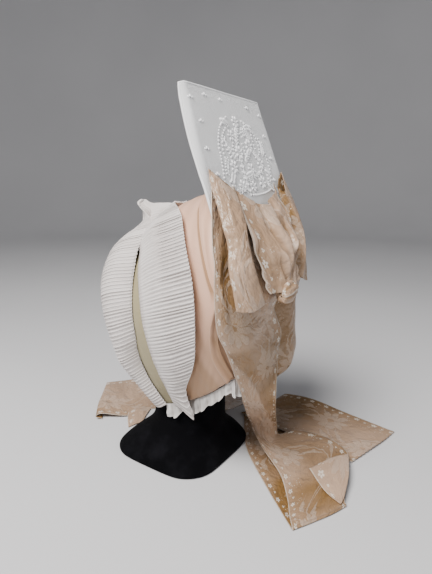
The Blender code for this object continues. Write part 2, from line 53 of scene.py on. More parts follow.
def hermite(start, end, slopeIn, slopeOut, share):
    square = share * share
    cube = square * share
    return (
        (2.0 * cube - 3.0 * square + 1.0) * start
        + (cube - 2.0 * square + share) * slopeIn
        + (3.0 * square - 2.0 * cube) * end
        + (cube - square) * slopeOut
    )


def readTable(table, place):
    # the other columns of a table, read smoothly at a place in its first column
    if place <= table[0][0]:
        return table[0][1:]
    for index in range(len(table) - 1):
        start, end = table[index], table[index + 1]
        if place <= end[0]:
            before = table[max(index - 1, 0)]
            after = table[min(index + 2, len(table) - 1)]
            span = end[0] - start[0]
            share = (place - start[0]) / span
            found = []
            for column in range(1, len(start)):
                slopeIn = (end[column] - before[column]) / (end[0] - before[0]) * span
                slopeOut = (after[column] - start[column]) / (after[0] - start[0]) * span
                found.append(hermite(start[column], end[column], slopeIn, slopeOut, share))
            return tuple(found)
    return table[-1][1:]


def throughPoints(points, place):
    # a point at a share of the way along a smooth line through a row of points
    count = len(points) - 1
    index = min(int(place * count), count - 1)
    share = place * count - index
    start, end = Vector(points[index]), Vector(points[index + 1])
    before = Vector(points[max(index - 1, 0)])
    after = Vector(points[min(index + 2, count)])
    return hermite(start, end, (end - before) * 0.5, (after - start) * 0.5, share)


def ease(low, high, value):
    share = min(max((value - low) / (high - low), 0.0), 1.0)
    return share * share * (3.0 - 2.0 * share)


def crumple(point, scale, seed=0.0):
    # soft uneven cloth, from -1 to 1, always the same for the same place
    return noise.noise(Vector((point[0] * scale, point[1] * scale, point[2] * scale + seed)))


# Materials.

def startMaterial(name):
    material = bpy.data.materials.new(name)
    material.use_nodes = True
    tree = material.node_tree
    return material, tree, tree.nodes["Principled BSDF"]


def setSockets(shader, values):
    for name, value in values.items():
        shader.inputs[name].default_value = value


def addNode(tree, kind, inputs=None, **settings):
    node = tree.nodes.new(kind)
    for name, value in settings.items():
        setattr(node, name, value)
    for key, value in (inputs or {}).items():
        socket = node.inputs[key]
        if hasattr(value, "is_output"):
            tree.links.new(value, socket)
        else:
            socket.default_value = value
    return node


def calc(tree, operation, first, second=0.0, third=0.0, clamp=False):
    node = addNode(tree, "ShaderNodeMath", {0: first, 1: second, 2: third}, operation=operation)
    node.use_clamp = clamp
    return node.outputs[0]


def fade(tree, value, low, high, atLow=0.0, atHigh=1.0):
    node = addNode(
        tree, "ShaderNodeMapRange",
        {"Value": value, "From Min": low, "From Max": high, "To Min": atLow, "To Max": atHigh},
        interpolation_type="SMOOTHSTEP",
    )
    return node.outputs["Result"]


def mixColour(tree, share, first, second):
    node = addNode(tree, "ShaderNodeMix", data_type="RGBA")
    for index, value in ((0, share), (6, first), (7, second)):
        socket = node.inputs[index]
        if hasattr(value, "is_output"):
            tree.links.new(value, socket)
        else:
            socket.default_value = value
    return node.outputs[2]


def clothNoise(tree, coordinates, scale, detail=3.0, roughness=0.5):
    node = addNode(
        tree, "ShaderNodeTexNoise",
        {"Vector": coordinates, "Scale": scale, "Detail": detail, "Roughness": roughness},
    )
    return node.outputs["Fac"]


def threads(tree, coordinates, pitch, along):
    # one set of threads, a ridge for each, seen along the map's U or V
    node = addNode(
        tree, "ShaderNodeTexWave",
        {"Vector": coordinates, "Scale": 0.314 / pitch, "Distortion": 0.6, "Detail": 1.0,
         "Detail Scale": 1.5},
        wave_type="BANDS", bands_direction=along,
    )
    return node.outputs["Fac"]


def bumpFrom(tree, height, distance, strength, normal=None):
    inputs = {"Height": height, "Distance": distance, "Strength": strength}
    if normal is not None:
        inputs["Normal"] = normal
    return addNode(tree, "ShaderNodeBump", inputs).outputs["Normal"]


def clothMap(tree):
    return addNode(tree, "ShaderNodeUVMap", uv_map="clothMap").outputs["UV"]


def paintedShade(tree):
    return addNode(tree, "ShaderNodeAttribute", attribute_name="paintedShade").outputs["Fac"]


velvetLook = {
    "pile": (0.0022, 0.0022, 0.0028, 1.0),
    "lint": (0.006, 0.006, 0.0075, 1.0),
    "sheen": 0.02,
}


def makeVelvet():
    material, tree, shader = startMaterial("blackVelvet")
    place = addNode(tree, "ShaderNodeTexCoord").outputs["Object"]
    brushed = clothNoise(tree, place, 38.0, 5.0, 0.6)
    pile = clothNoise(tree, place, 2600.0, 2.0)
    shade = mixColour(tree, fade(tree, brushed, 0.42, 0.72), velvetLook["pile"], velvetLook["lint"])
    tree.links.new(shade, shader.inputs["Base Color"])
    tree.links.new(bumpFrom(tree, pile, 0.0004, 0.6), shader.inputs["Normal"])
    setSockets(shader, {"Roughness": 1.0, "Specular IOR Level": 0.05,
                        "Sheen Weight": velvetLook["sheen"], "Sheen Roughness": 0.4})
    return material


# Each linen: its colour in the light and its painted shade colour in a fold, the pitch of its threads, how
# crinkled.
linenLook = {
    "cloth": (0.76, 0.715, 0.69, 1.0),
    "fold": (0.44, 0.375, 0.345, 1.0),
    "thread": 0.00042,
    "crinkle": 0.8,
}
boardLook = {
    "cloth": (0.78, 0.785, 0.79, 1.0),
    "fold": (0.55, 0.55, 0.56, 1.0),
    "thread": 0.00045,
    "crinkle": 0.3,
}
stitchLook = {
    "cloth": (0.86, 0.86, 0.87, 1.0),
    "fold": (0.62, 0.62, 0.64, 1.0),
    "thread": 0.0005,
    "crinkle": 0.0,
}
liningLook = {
    "cloth": (0.35, 0.30, 0.17, 1.0),
    "fold": (0.25, 0.205, 0.105, 1.0),
    "thread": 0.0005,
    "crinkle": 0.0,
}


def makeLinen(name, look, bump=0.5):
    material, tree, shader = startMaterial(name)
    cloth = clothMap(tree)
    weave = calc(tree, "ADD", threads(tree, cloth, look["thread"], "X"),
                 threads(tree, cloth, look["thread"], "Y"))
    slubs = clothNoise(tree, cloth, 260.0, 3.0)
    clouds = clothNoise(tree, cloth, 34.0, 2.0)
    # painted shade from folds and creases, with tone that differs at random, mixes the lit colour towards
    # the shaded one
    depth = calc(tree, "ADD", paintedShade(tree), fade(tree, clouds, 0.35, 0.75, -0.06, 0.10), clamp=True)
    shade = mixColour(tree, depth, look["cloth"], look["fold"])
    tree.links.new(shade, shader.inputs["Base Color"])
    height = calc(tree, "MULTIPLY_ADD", slubs, 0.9, weave)
    crinkles = clothNoise(tree, cloth, 620.0, 3.0, 0.6)
    crinkled = bumpFrom(tree, crinkles, 0.0007, look["crinkle"])
    tree.links.new(bumpFrom(tree, height, 0.00012, bump, crinkled), shader.inputs["Normal"])
    setSockets(shader, {"Roughness": 0.88, "Specular IOR Level": 0.25, "Sheen Weight": 0.15,
                        "Sheen Roughness": 0.6})
    return material


tulleLook = {
    # its colour in the light, and its painted shade colour in a fold
    "cloth": (0.80, 0.77, 0.74, 1.0),
    "fold": (0.50, 0.46, 0.43, 1.0),
    "netScale": 900.0,
    "alpha": 0.72,
}


def makeTulle():
    look = tulleLook
    material, tree, shader = startMaterial("sheerTulle")
    cloth = clothMap(tree)
    net = addNode(tree, "ShaderNodeTexVoronoi", {"Vector": cloth, "Scale": look["netScale"]},
                  feature="DISTANCE_TO_EDGE").outputs["Distance"]
    # painted shade in the folds of the gathers
    shade = mixColour(tree, paintedShade(tree), look["cloth"], look["fold"])
    tree.links.new(shade, shader.inputs["Base Color"])
    tree.links.new(bumpFrom(tree, net, 0.0001, 0.4), shader.inputs["Normal"])
    setSockets(shader, {"Roughness": 0.75, "Alpha": look["alpha"], "Sheen Weight": 0.2})
    return material


# silk: its lit colour, its painted shade colour, and its thread pitch
silkLook = {"light": (0.70, 0.435, 0.31, 1.0), "shadeColour": (0.37, 0.21, 0.11, 1.0), "thread": 0.0003}
# dark brown for a cord that stands for the painted shadow line ahead of the caul's lapped edge
lapShadowLook = {"light": (0.16, 0.075, 0.035, 1.0), "shadeColour": (0.10, 0.045, 0.02, 1.0), "thread": 0.0003}


def makeSilk(name, look):
    material, tree, shader = startMaterial(name)
    cloth = clothMap(tree)
    clouds = clothNoise(tree, cloth, 22.0, 3.0)
    crease = addNode(
        tree, "ShaderNodeTexNoise",
        {"Vector": cloth, "Scale": 55.0, "Detail": 4.0, "Roughness": 0.55, "Distortion": 0.8},
    )
    # painted shade in folds, under the frills and down the lower cap, with tone that differs at random
    depth = calc(tree, "ADD", paintedShade(tree), fade(tree, clouds, 0.3, 0.8, -0.05, 0.16), clamp=True)
    shade = mixColour(tree, depth, look["light"], look["shadeColour"])
    tree.links.new(shade, shader.inputs["Base Color"])
    weave = threads(tree, cloth, look["thread"], "X")
    soft = bumpFrom(tree, crease.outputs["Fac"], 0.0012, 0.35)
    tree.links.new(bumpFrom(tree, weave, 0.00005, 0.25, soft), shader.inputs["Normal"])
    setSockets(shader, {"Roughness": 0.46, "Specular IOR Level": 0.45, "Sheen Weight": 0.25,
                        "Sheen Roughness": 0.45})
    return material


# Woven satin: the map is in metres, U across the ribbon and V along it, and so are these sizes.
satinLook = {
    "width": 0.104,
    "ground": (0.46, 0.315, 0.22, 1.0),
    # the colour that painted shade mixes towards
    "shadeColour": (0.20, 0.11, 0.038, 1.0),
    "woven": (0.60, 0.475, 0.385, 1.0),
    "dot": (0.80, 0.74, 0.65, 1.0),
    "wovenShare": 0.50,
    "dotShare": 0.7,
    "selvageShare": 0.45,
    "roughness": (0.27, 0.50),
    "flowerEvery": 0.118,
    "flowerSize": 0.021,
    "flowerSide": 0.16,  # share of the width from the middle
    "stemSwing": 0.24,  # share of the width
    "stemEdge": (0.0006, 0.0013),
    "leafEvery": 0.031,
    "leafOut": 0.010,
    "leafLength": 0.0115,
    "leafWidth": 0.0034,
    "leafSlant": 0.55,
    "dotsEvery": 0.0205,
    "dotsIn": 0.0085,
    # share of the spacing that it is moved along, further in from the edge, size, petals
    "rosettes": ((0.0, 0.0, 0.0033, 5.0), (0.5, 0.002, 0.0016, 3.0)),
    "selvageEdge": (0.0012, 0.0020),
}


def petalMask(tree, across, along, petals, size, waist, soft, turn=0.0):
    # a flower in a flat place: white inside a wavy circle, with a small eye left open
    distance = calc(tree, "SQRT", calc(tree, "ADD", calc(tree, "MULTIPLY", across, across),
                                       calc(tree, "MULTIPLY", along, along)))
    angle = calc(tree, "ADD", calc(tree, "ARCTAN2", across, along), turn)
    lobes = calc(tree, "ABSOLUTE", calc(tree, "COSINE", calc(tree, "MULTIPLY", angle, petals / 2.0)))
    bulge = calc(tree, "MULTIPLY_ADD", calc(tree, "POWER", lobes, 0.6), 1.0 - waist, waist)
    rim = calc(tree, "MULTIPLY", bulge, size)
    inside = fade(tree, calc(tree, "SUBTRACT", distance, rim), -soft, soft, 1.0, 0.0)
    eye = fade(tree, distance, size * 0.16, size * 0.16 + soft, 0.0, 1.0)
    return calc(tree, "MULTIPLY", inside, eye), lobes


def repeatAlong(tree, along, every, shift=0.0):
    moved = calc(tree, "ADD", along, shift)
    return calc(tree, "SUBTRACT", calc(tree, "FLOORED_MODULO", moved, every), every / 2.0)


def makeSatin(name, look):
    material, tree, shader = startMaterial(name)
    cloth = clothMap(tree)
    wobble = addNode(tree, "ShaderNodeTexNoise", {"Vector": cloth, "Scale": 90.0, "Detail": 3.0})
    wander = addNode(tree, "ShaderNodeVectorMath", {0: wobble.outputs["Color"], 1: (0.5, 0.5, 0.5)},
                     operation="SUBTRACT").outputs[0]
    bent = addNode(tree, "ShaderNodeVectorMath", {0: wander, 1: (0.010, 0.010, 0.0), 2: cloth},
                   operation="MULTIPLY_ADD").outputs[0]
    split = addNode(tree, "ShaderNodeSeparateXYZ", {0: bent})
    plain = addNode(tree, "ShaderNodeSeparateXYZ", {0: cloth})
    across = calc(tree, "SUBTRACT", split.outputs[0], look["width"] / 2.0)
    along = split.outputs[1]
    every = look["flowerEvery"]
    # large flowers, to the left and right of the middle by turns
    masks = []
    for side, shift in ((-look["flowerSide"], 0.0), (look["flowerSide"], every / 2.0)):
        x = calc(tree, "ADD", across, look["width"] * side)
        y = repeatAlong(tree, along, every, shift)
        flower, lobes = petalMask(tree, x, y, 9.0, look["flowerSize"], 0.45, 0.0009, side)
        vein = fade(tree, lobes, 0.05, 0.42, 0.25, 1.0)
        masks.append(calc(tree, "MULTIPLY", flower, vein))
    # a stem that winds between them, with leaves beside it
    winding = calc(tree, "SINE", calc(tree, "MULTIPLY", along, 2.0 * math.pi / every))
    swing = calc(tree, "MULTIPLY", winding, look["width"] * look["stemSwing"])
    fromStem = calc(tree, "SUBTRACT", across, swing)
    masks.append(fade(tree, calc(tree, "ABSOLUTE", fromStem), *look["stemEdge"], 1.0, 0.0))
    for side, shift in ((1.0, 0.0), (-1.0, 0.5)):
        x = calc(tree, "SUBTRACT", fromStem, look["leafOut"] * side)
        y = repeatAlong(tree, along, look["leafEvery"], look["leafEvery"] * shift)
        slant = calc(tree, "MULTIPLY_ADD", y, look["leafSlant"] * side, x)
        reach = calc(tree, "DIVIDE", calc(tree, "ABSOLUTE", y), look["leafLength"])
        narrowed = calc(tree, "POWER", calc(tree, "MINIMUM", reach, 1.0), 1.6)
        wide = calc(tree, "MULTIPLY", calc(tree, "SUBTRACT", 1.0, narrowed), look["leafWidth"])
        outside = calc(tree, "SUBTRACT", calc(tree, "ABSOLUTE", slant), wide)
        masks.append(fade(tree, outside, -0.0006, 0.0006, 1.0, 0.0))
    woven = masks[0]
    for mask in masks[1:]:
        woven = calc(tree, "MAXIMUM", woven, mask)
    # the pattern is broken up into single floats of thread
    stretched = addNode(tree, "ShaderNodeVectorMath", {0: cloth, 1: (1900.0, 420.0, 1.0)},
                        operation="MULTIPLY").outputs[0]
    strokes = fade(tree, clothNoise(tree, stretched, 1.0, 2.0), 0.38, 0.60, 0.30, 1.0)
    woven = calc(tree, "MULTIPLY", woven, strokes)
    # a row of small white rosettes beside each selvage
    fromMiddle = calc(tree, "SUBTRACT", plain.outputs[0], look["width"] / 2.0)
    fromEdge = calc(tree, "SUBTRACT", look["width"] / 2.0, calc(tree, "ABSOLUTE", fromMiddle))
    rosettes = []
    for shift, inward, size, petals in look["rosettes"]:
        x = calc(tree, "SUBTRACT", fromEdge, look["dotsIn"] + inward)
        y = repeatAlong(tree, plain.outputs[1], look["dotsEvery"], look["dotsEvery"] * shift)
        rosettes.append(petalMask(tree, x, y, petals, size, 0.22, 0.0004, 0.4)[0])
    # specks scattered in patches between the rosettes
    cells = addNode(tree, "ShaderNodeTexVoronoi", {"Vector": cloth, "Scale": 430.0, "Randomness": 0.9})
    specks = fade(tree, cells.outputs["Distance"], 0.16, 0.34, 1.0, 0.0)
    border = fade(tree, fromEdge, 0.018, 0.030, 1.0, 0.0)
    patches = fade(tree, clothNoise(tree, cloth, 120.0, 2.0), 0.50, 0.58)
    scattered = calc(tree, "MULTIPLY", specks, calc(tree, "MULTIPLY", border, patches))
    dots = calc(tree, "MAXIMUM", calc(tree, "MAXIMUM", *rosettes), calc(tree, "MULTIPLY", scattered, 0.7))
    selvage = fade(tree, fromEdge, *look["selvageEdge"], 1.0, 0.0)

    clouds = clothNoise(tree, cloth, 16.0, 3.0)
    # painted shade in the satin's folds, hollows and under the loops, with tone that differs at random
    depth = calc(tree, "ADD", paintedShade(tree), fade(tree, clouds, 0.35, 0.8, -0.05, 0.22), clamp=True)
    ground = mixColour(tree, depth, look["ground"], look["shadeColour"])
    patterned = mixColour(tree, calc(tree, "MULTIPLY", woven, look["wovenShare"]), ground, look["woven"])
    dotted = mixColour(tree, calc(tree, "MULTIPLY", dots, look["dotShare"]), patterned, look["dot"])
    edged = mixColour(tree, calc(tree, "MULTIPLY", selvage, look["selvageShare"]), dotted, look["dot"])
    tree.links.new(edged, shader.inputs["Base Color"])
    raised = calc(tree, "MAXIMUM", woven, dots)
    tree.links.new(fade(tree, raised, 0.0, 1.0, *look["roughness"]), shader.inputs["Roughness"])
    creases = addNode(
        tree, "ShaderNodeTexNoise",
        {"Vector": cloth, "Scale": 48.0, "Detail": 3.0, "Roughness": 0.5, "Distortion": 0.6},
    )
    soft = bumpFrom(tree, creases.outputs["Fac"], 0.0055, 0.6)
    sharp = calc(tree, "ABSOLUTE", calc(tree, "SUBTRACT", clothNoise(tree, bent, 85.0, 2.0), 0.5))
    crisp = bumpFrom(tree, sharp, 0.0045, 0.6, soft)
    pattern = bumpFrom(tree, raised, 0.00022, 0.8, crisp)
    floats = threads(tree, cloth, 0.00035, "Y")
    tree.links.new(bumpFrom(tree, floats, 0.00004, 0.3, pattern), shader.inputs["Normal"])
    setSockets(shader, {"Specular IOR Level": 0.55, "Anisotropic": 0.4, "Sheen Weight": 0.04,
                        "Sheen Roughness": 0.4})
    return material


velvet = makeVelvet()
frillLinen = makeLinen("pleatedLinen", linenLook)
boardLinen = makeLinen("whiteworkLinen", boardLook, 0.7)
stitchCotton = makeLinen("stitchCotton", stitchLook, 0.9)
lining = makeLinen("oliveLining", liningLook, 0.6)
silk = makeSilk("peachSilk", silkLook)
# the dark cord material that stands for the painted shadow line ahead of the caul's lap
thread = makeSilk("lapShadowCord", lapShadowLook)
tulle = makeTulle()
satin = makeSatin("brocadeSatin", satinLook)
print("materials made")


# Making cloth.

def makeCloth(name, columns, rows, place, wall, finish, cut, ring=False):
    # a wall of cloth on place(u, v), which gives a point and its painted shade in folds and under parts;
    # cut is the size of its map in metres
    shape = bmesh.new()
    clothUv = shape.loops.layers.uv.new("clothMap")
    shadeLayer = shape.verts.layers.float.new("paintedShade")
    bmesh.ops.create_grid(shape, x_segments=columns, y_segments=rows, size=0.5)
    for face in shape.faces:
        for loop in face.loops:
            loop[clothUv].uv = ((loop.vert.co.x + 0.5) * cut[0], (loop.vert.co.y + 0.5) * cut[1])
    for vertex in shape.verts:
        point, depth = place(vertex.co.x + 0.5, vertex.co.y + 0.5)
        vertex.co = point * mm
        vertex[shadeLayer] = min(max(depth, 0.0), 1.0)
    if ring:
        bmesh.ops.remove_doubles(shape, verts=shape.verts, dist=0.00001)
    return finishPiece(name, shape, finish, wall)


def finishPiece(name, shape, finish, wall=0.0):
    mesh = bpy.data.meshes.new(name)
    shape.to_mesh(mesh)
    shape.free()
    mesh.materials.append(finish)
    mesh.polygons.foreach_set("use_smooth", [True] * len(mesh.polygons))
    piece = bpy.data.objects.new(name, mesh)
    bpy.context.collection.objects.link(piece)
    if wall:
        thicken = piece.modifiers.new("Wall", "SOLIDIFY")
        thicken.thickness = wall * mm
        thicken.offset = 0.0
        thicken.use_even_offset = False
    return piece


def makeCord(name, lines, radius, finish, sides=3, thickness=None):
    # thin piping, stems and rolled hems, along lines of points in millimetres
    curve = bpy.data.curves.new(name, "CURVE")
    curve.dimensions = "3D"
    curve.bevel_depth = radius * mm
    curve.bevel_resolution = sides - 2
    curve.use_fill_caps = True
    for line in lines:
        run = curve.splines.new("POLY")
        run.points.add(len(line) - 1)
        for index, place in enumerate(line):
            run.points[index].co = (*(place * mm), 1.0)
            run.points[index].radius = thickness(index / (len(line) - 1.0)) if thickness else 1.0
    holder = bpy.data.objects.new(name + "Line", curve)
    bpy.context.collection.objects.link(holder)
    mesh = bpy.data.meshes.new_from_object(holder)
    bpy.data.objects.remove(holder)
    bpy.data.curves.remove(curve)
    mesh.name = name
    mesh.materials.clear()
    mesh.materials.append(finish)
    mesh.polygons.foreach_set("use_smooth", [True] * len(mesh.polygons))
    piece = bpy.data.objects.new(name, mesh)
    bpy.context.collection.objects.link(piece)
    return piece


def addToCoif(piece, slotName, *nodes):
    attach(piece, "root")
    if nodes:
        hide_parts(*nodes)
    return piece


# The black stand.

standSettings = {
    # z, half size, corner radius, y of the centre
    "sections": (
        (0.0, 62.6, 37.0, 0.0), (1.2, 63.8, 37.5, 0.0), (3.0, 64.0, 37.5, 0.0),
        (6.0, 62.5, 37.5, 0.3),
        (16.0, 55.5, 37.0, 3.0), (25.0, 47.5, 38.5, 6.0), (32.0, 43.5, 41.0, 8.0),
        (42.0, 40.5, 40.4, 10.0), (60.0, 38.5, 38.5, 12.0), (84.0, 37.0, 37.0, 14.0),
        (86.8, 36.2, 36.2, 14.0), (88.0, 33.5, 33.5, 14.0),
    ),
    "sides": 96,
    "rows": 44,
    "postCentre": (0.0, 33.0),
    # radius, z
    "postProfile": ((13.5, 88.3), (14.0, 91.0), (12.0, 95.0), (9.0, 98.0), (8.7, 120.0), (8.7, 210.0),
                    (9.0, 226.0), (12.5, 236.0), (14.5, 241.0), (14.0, 243.7)),
    "pad": {"columns": 26, "rows": 14, "y": 36.0, "halfLong": 20.5, "halfWide": 0.25, "below": 1.9,
            "bottom": 244.2, "rounding": 2.2},
}


def footPlace(u, v):
    settings = standSettings
    z = throughPoints([(row[0], 0.0, 0.0) for row in settings["sections"]], v).x
    halfSize, radius, centreY = readTable(settings["sections"], z)
    straight = max(halfSize - radius, 0.0)
    angle = 2.0 * math.pi * u
    cosTurn, sinTurn = math.cos(angle), math.sin(angle)
    x = straight * math.tanh(6.0 * cosTurn) + radius * cosTurn
    y = straight * math.tanh(6.0 * sinTurn) + radius * sinTurn
    ripple = 0.35 * crumple((x, y, z), 0.035)
    return Vector((x * (1.0 + ripple / 90.0), y * (1.0 + ripple / 90.0) + centreY, z)), 0.0


def makeStand():
    settings = standSettings
    shape = bmesh.new()
    bmesh.ops.create_grid(shape, x_segments=settings["sides"], y_segments=settings["rows"], size=0.5)
    for vertex in shape.verts:
        vertex.co = footPlace(vertex.co.x + 0.5, vertex.co.y + 0.5)[0] * mm
    bmesh.ops.remove_doubles(shape, verts=shape.verts, dist=0.00001)
    bmesh.ops.holes_fill(shape, edges=[edge for edge in shape.edges if edge.is_boundary], sides=0)
    bmesh.ops.recalc_face_normals(shape, faces=shape.faces)
    foot = finishPiece("standFoot", shape, velvet)
    addToCoif(foot, "black_velvet", "stand_foot")

    shape = bmesh.new()
    line = [shape.verts.new((0.0, 0.0, settings["postProfile"][0][1] * mm))]
    line += [shape.verts.new((radius * mm, 0.0, z * mm)) for radius, z in settings["postProfile"]]
    line.append(shape.verts.new((0.0, 0.0, settings["postProfile"][-1][1] * mm)))
    edges = [shape.edges.new(pair) for pair in zip(line, line[1:])]
    bmesh.ops.spin(shape, geom=line + edges, axis=(0.0, 0.0, 1.0), cent=(0.0, 0.0, 0.0),
                   angle=2.0 * math.pi, steps=40, use_merge=True)
    bmesh.ops.remove_doubles(shape, verts=shape.verts, dist=0.00001)
    bmesh.ops.recalc_face_normals(shape, faces=shape.faces)
    bmesh.ops.translate(shape, verts=shape.verts,
                        vec=(settings["postCentre"][0] * mm, settings["postCentre"][1] * mm, 0.0))
    post = finishPiece("standPost", shape, velvet)
    addToCoif(post, "black_velvet", "stand_post")

    cushion = settings["pad"]
    shape = bmesh.new()
    bmesh.ops.create_grid(shape, x_segments=cushion["columns"], y_segments=cushion["rows"], size=0.5)
    for vertex in shape.verts:
        u, v = vertex.co.x * 2.0, vertex.co.y * 2.0
        # a disc drawn from the square, so the pad has a round outline
        roundU, roundV = u * math.sqrt(1.0 - v * v / 2.0), v * math.sqrt(1.0 - u * u / 2.0)
        top = hoodSurface(cushion["y"] + cushion["halfLong"] * roundV, -cushion["halfWide"] * roundU,
                          -cushion["below"])
        vertex.co = top * mm
    made = bmesh.ops.extrude_face_region(shape, geom=list(shape.faces))
    for element in made["geom"]:
        if isinstance(element, bmesh.types.BMVert):
            element.co.z = cushion["bottom"] * mm
    bmesh.ops.recalc_face_normals(shape, faces=shape.faces)
    rims = [edge for edge in shape.edges if edge.calc_face_angle(0.0) > 0.8]
    bmesh.ops.bevel(shape, geom=rims, offset=cushion["rounding"] * mm, segments=4, profile=0.5,
                    affect="EDGES", material=-1)
    pad = finishPiece("crownPad", shape, velvet)
    addToCoif(pad, "black_velvet", "stand_pad")


# The hood that everything is sewn to.

hoodSettings = {
    # y, half width, height of the crown, height of the hem, half width at the hem
    "sections": (
        (-92.0, 60.0, 91.0, -82.0, 42.0), (-70.0, 63.0, 94.0, -84.0, 42.0),
        (-45.0, 72.0, 96.0, -85.0, 43.0), (-22.0, 78.0, 98.0, -82.0, 44.0),
        (5.0, 80.0, 107.0, -76.0, 47.0), (45.0, 80.0, 109.0, -62.0, 53.0), (84.0, 77.0, 109.0, -50.0, 56.0),
    ),
    "waist": 15.0,
    "upperShare": 0.62,
    "hemCurve": 1.8,
    "front": -70.0,
    # place along the arch, y of the rear edge
    "rear": ((0.0, 81.0), (0.54, 81.0), (0.62, 74.0), (0.70, 61.0), (0.83, 45.0), (1.0, 38.0)),
    "wall": 0.9,
    "puff": 3.0,
    "binding": 0.9,
}


def archPoint(y, place, proud=0.0):
    # place is -1 at the right hem, 0 at the crown and 1 at the left hem
    halfWidth, crown, hem, hemHalf = readTable(hoodSettings["sections"], y)
    waist, upper = hoodSettings["waist"], hoodSettings["upperShare"]
    side = 1.0 if place >= 0.0 else -1.0
    share = abs(place)
    if share < upper:
        angle = math.pi / 2.0 * share / upper
        x = halfWidth * math.sin(angle)
        z = waist + (crown - waist) * math.cos(angle)
        outX, outZ = math.sin(angle) / halfWidth, math.cos(angle) / (crown - waist)
    else:
        down = (share - upper) / (1.0 - upper)
        narrow = halfWidth - hemHalf
        curve = hoodSettings["hemCurve"]
        x = halfWidth - narrow * down ** curve
        z = waist - (waist - hem) * down
        outX, outZ = waist - hem, -narrow * curve * down ** (curve - 1.0)
    length = math.hypot(outX, outZ)
    return Vector((side * (x + proud * outX / length), y, z + proud * outZ / length))


def hoodSurface(y, place, proud=0.0):
    return toWorld(*archPoint(y, place, proud))


def hoodRear(place):
    return readTable(hoodSettings["rear"], abs(place))[0]


def makeHood():
    front = hoodSettings["front"]

    def place(u, v):
        along = 1.0 - 2.0 * u
        y = front + (hoodRear(along) - front) * v
        point = hoodSurface(y, along)
        soft = crumple(point, 0.028) * 0.28 * min(v * 6.0, 1.0) * min((1.0 - v) * 8.0, 1.0)
        gap = ease(0.30, 0.42, abs(along)) * (1.0 - ease(0.90, 1.0, abs(along)))
        puffed = hoodSettings["puff"] * gap * ease(-66.0, -48.0, y) * (1.0 - ease(-28.0, -14.0, y))
        # painted shade, deeper towards the hems
        return hoodSurface(y, along, soft + puffed), 0.05 + 0.5 * ease(0.7, 1.0, abs(along))

    hood = makeCloth("liningHood", columns=168, rows=44, place=place, wall=hoodSettings["wall"],
                     finish=lining, cut=(0.46, 0.16))
    addToCoif(hood, "olive_cream_lining", "foundation_cap")
    # the bound face edge of the hood
    edge = [hoodSurface(front + 0.6, 1.0 - 2.0 * step / 90.0) for step in range(91)]
    binding = makeCord("hoodBinding", [edge], hoodSettings["binding"], lining, 4)
    addToCoif(binding, "olive_cream_lining")


# The peach silk caul, a front fold with a second one lapped over it.

caulSettings = {
    "wall": 0.55,
    # place along the arch, y
    "lap": ((0.0, 54.0), (0.15, 55.0), (0.25, 57.0), (0.31, 60.3), (0.44, 66.0), (0.56, 69.3),
            (0.62, 70.0), (0.68, 63.0), (0.75, 52.0), (0.86, 40.0), (1.0, 35.0)),
    "frontProud": 2.1,
    "backProud": 4.4,
    "panel": ((0.56, 80.8), (0.62, 79.5), (0.70, 73.0), (0.83, 59.0), (1.0, 46.0)),
    "panelClear": 2.2,
    "reach": 0.995,
    "seamCover": 2.0,
    "foldEdge": 0.38,
    "foldEdgeShare": 0.62,
    # a thin dark cord ahead of the lapped edge, standing for its painted shadow line: its radius, and its
    # share of the arch
    "lapShadow": 0.30,
    "lapShadowShare": 0.60,
}


def caulFrontPlace(u, v):
    along = (1.0 - 2.0 * u) * caulSettings["reach"]
    start = readTable(frillSettings["backLines"], abs(along))[0] + caulSettings["seamCover"]
    end = (readTable(caulSettings["lap"], abs(along))[0] + 4.0) * 0.94
    y = start + (end - start) * v
    swell = math.sin(math.pi * v) * 0.7
    # long soft wrinkles run down the cap, with small tucks near the hem
    pull = 0.45 * math.sin(y * 0.42 + 2.6 * abs(along) + 1.6 * crumple((along * 30.0, y, 0.0), 0.045))
    tucks = 0.55 * math.sin(along * 150.0 + 0.5 * y) * ease(0.72, 0.98, abs(along))
    fine = 0.5 * crumple((along * 90.0, y, 3.0), 0.09)
    held = min(v * 5.0, 1.0) * min((1.0 - v) * 6.0, 1.0)
    proud = caulSettings["frontProud"] + swell + (pull * 0.5 + tucks * 0.6 + fine * 0.5) * held
    # painted shade: a shadow beside the back frill, a dark shadow line just ahead of the lapped edge, the
    # lower cap darker in shade, lighter and darker along the wrinkles
    nearFrill = 1.0 - ease(0.62, 0.95, v)
    lapShade = 1.4 * ease(0.925, 0.95, v) * (1.0 - ease(0.56, 0.66, abs(along)))
    depth = 0.02 + 0.35 * nearFrill * ease(0.2, 0.8, abs(along)) + 0.75 * ease(0.60, 0.95, abs(along))
    return hoodSurface(y, along, max(proud, 1.5)), depth - 0.25 * pull * held + lapShade


def caulBackPlace(u, v):
    along = (1.0 - 2.0 * u) * caulSettings["reach"]
    start = readTable(caulSettings["lap"], abs(along))[0]
    past = 6.0 * ease(0.52, 0.62, abs(along)) * v * v
    y = start + (hoodRear(along) - start) * v + past
    swell = math.sin(math.pi * min(v * 1.4, 1.0)) * 1.5 - 0.55 * past
    fine = 0.5 * crumple((along * 80.0, y, 9.0), 0.08)
    ridge = 0.4 * math.sin(y * 0.7 + 3.0 * crumple((along * 20.0, y, 5.0), 0.05))
    held = min(v * 6.0, 1.0) * min((1.0 - v) * 6.0, 1.0)
    flush = ease(0.56, 0.66, abs(along))
    raised = 1.1 * (1.0 - ease(0.0, 0.25, v)) * (1.0 - flush) - 1.2 * flush
    proud = caulSettings["backProud"] + swell + (fine + ridge) * 0.6 * held + raised
    # painted shade, deeper down the sides and towards the nape, and along the ridges
    depth = 0.22 + 0.55 * ease(0.56, 0.9, abs(along)) + 0.25 * ease(0.5, 1.0, v)
    return hoodSurface(y, along, proud), depth - 0.2 * ridge * held


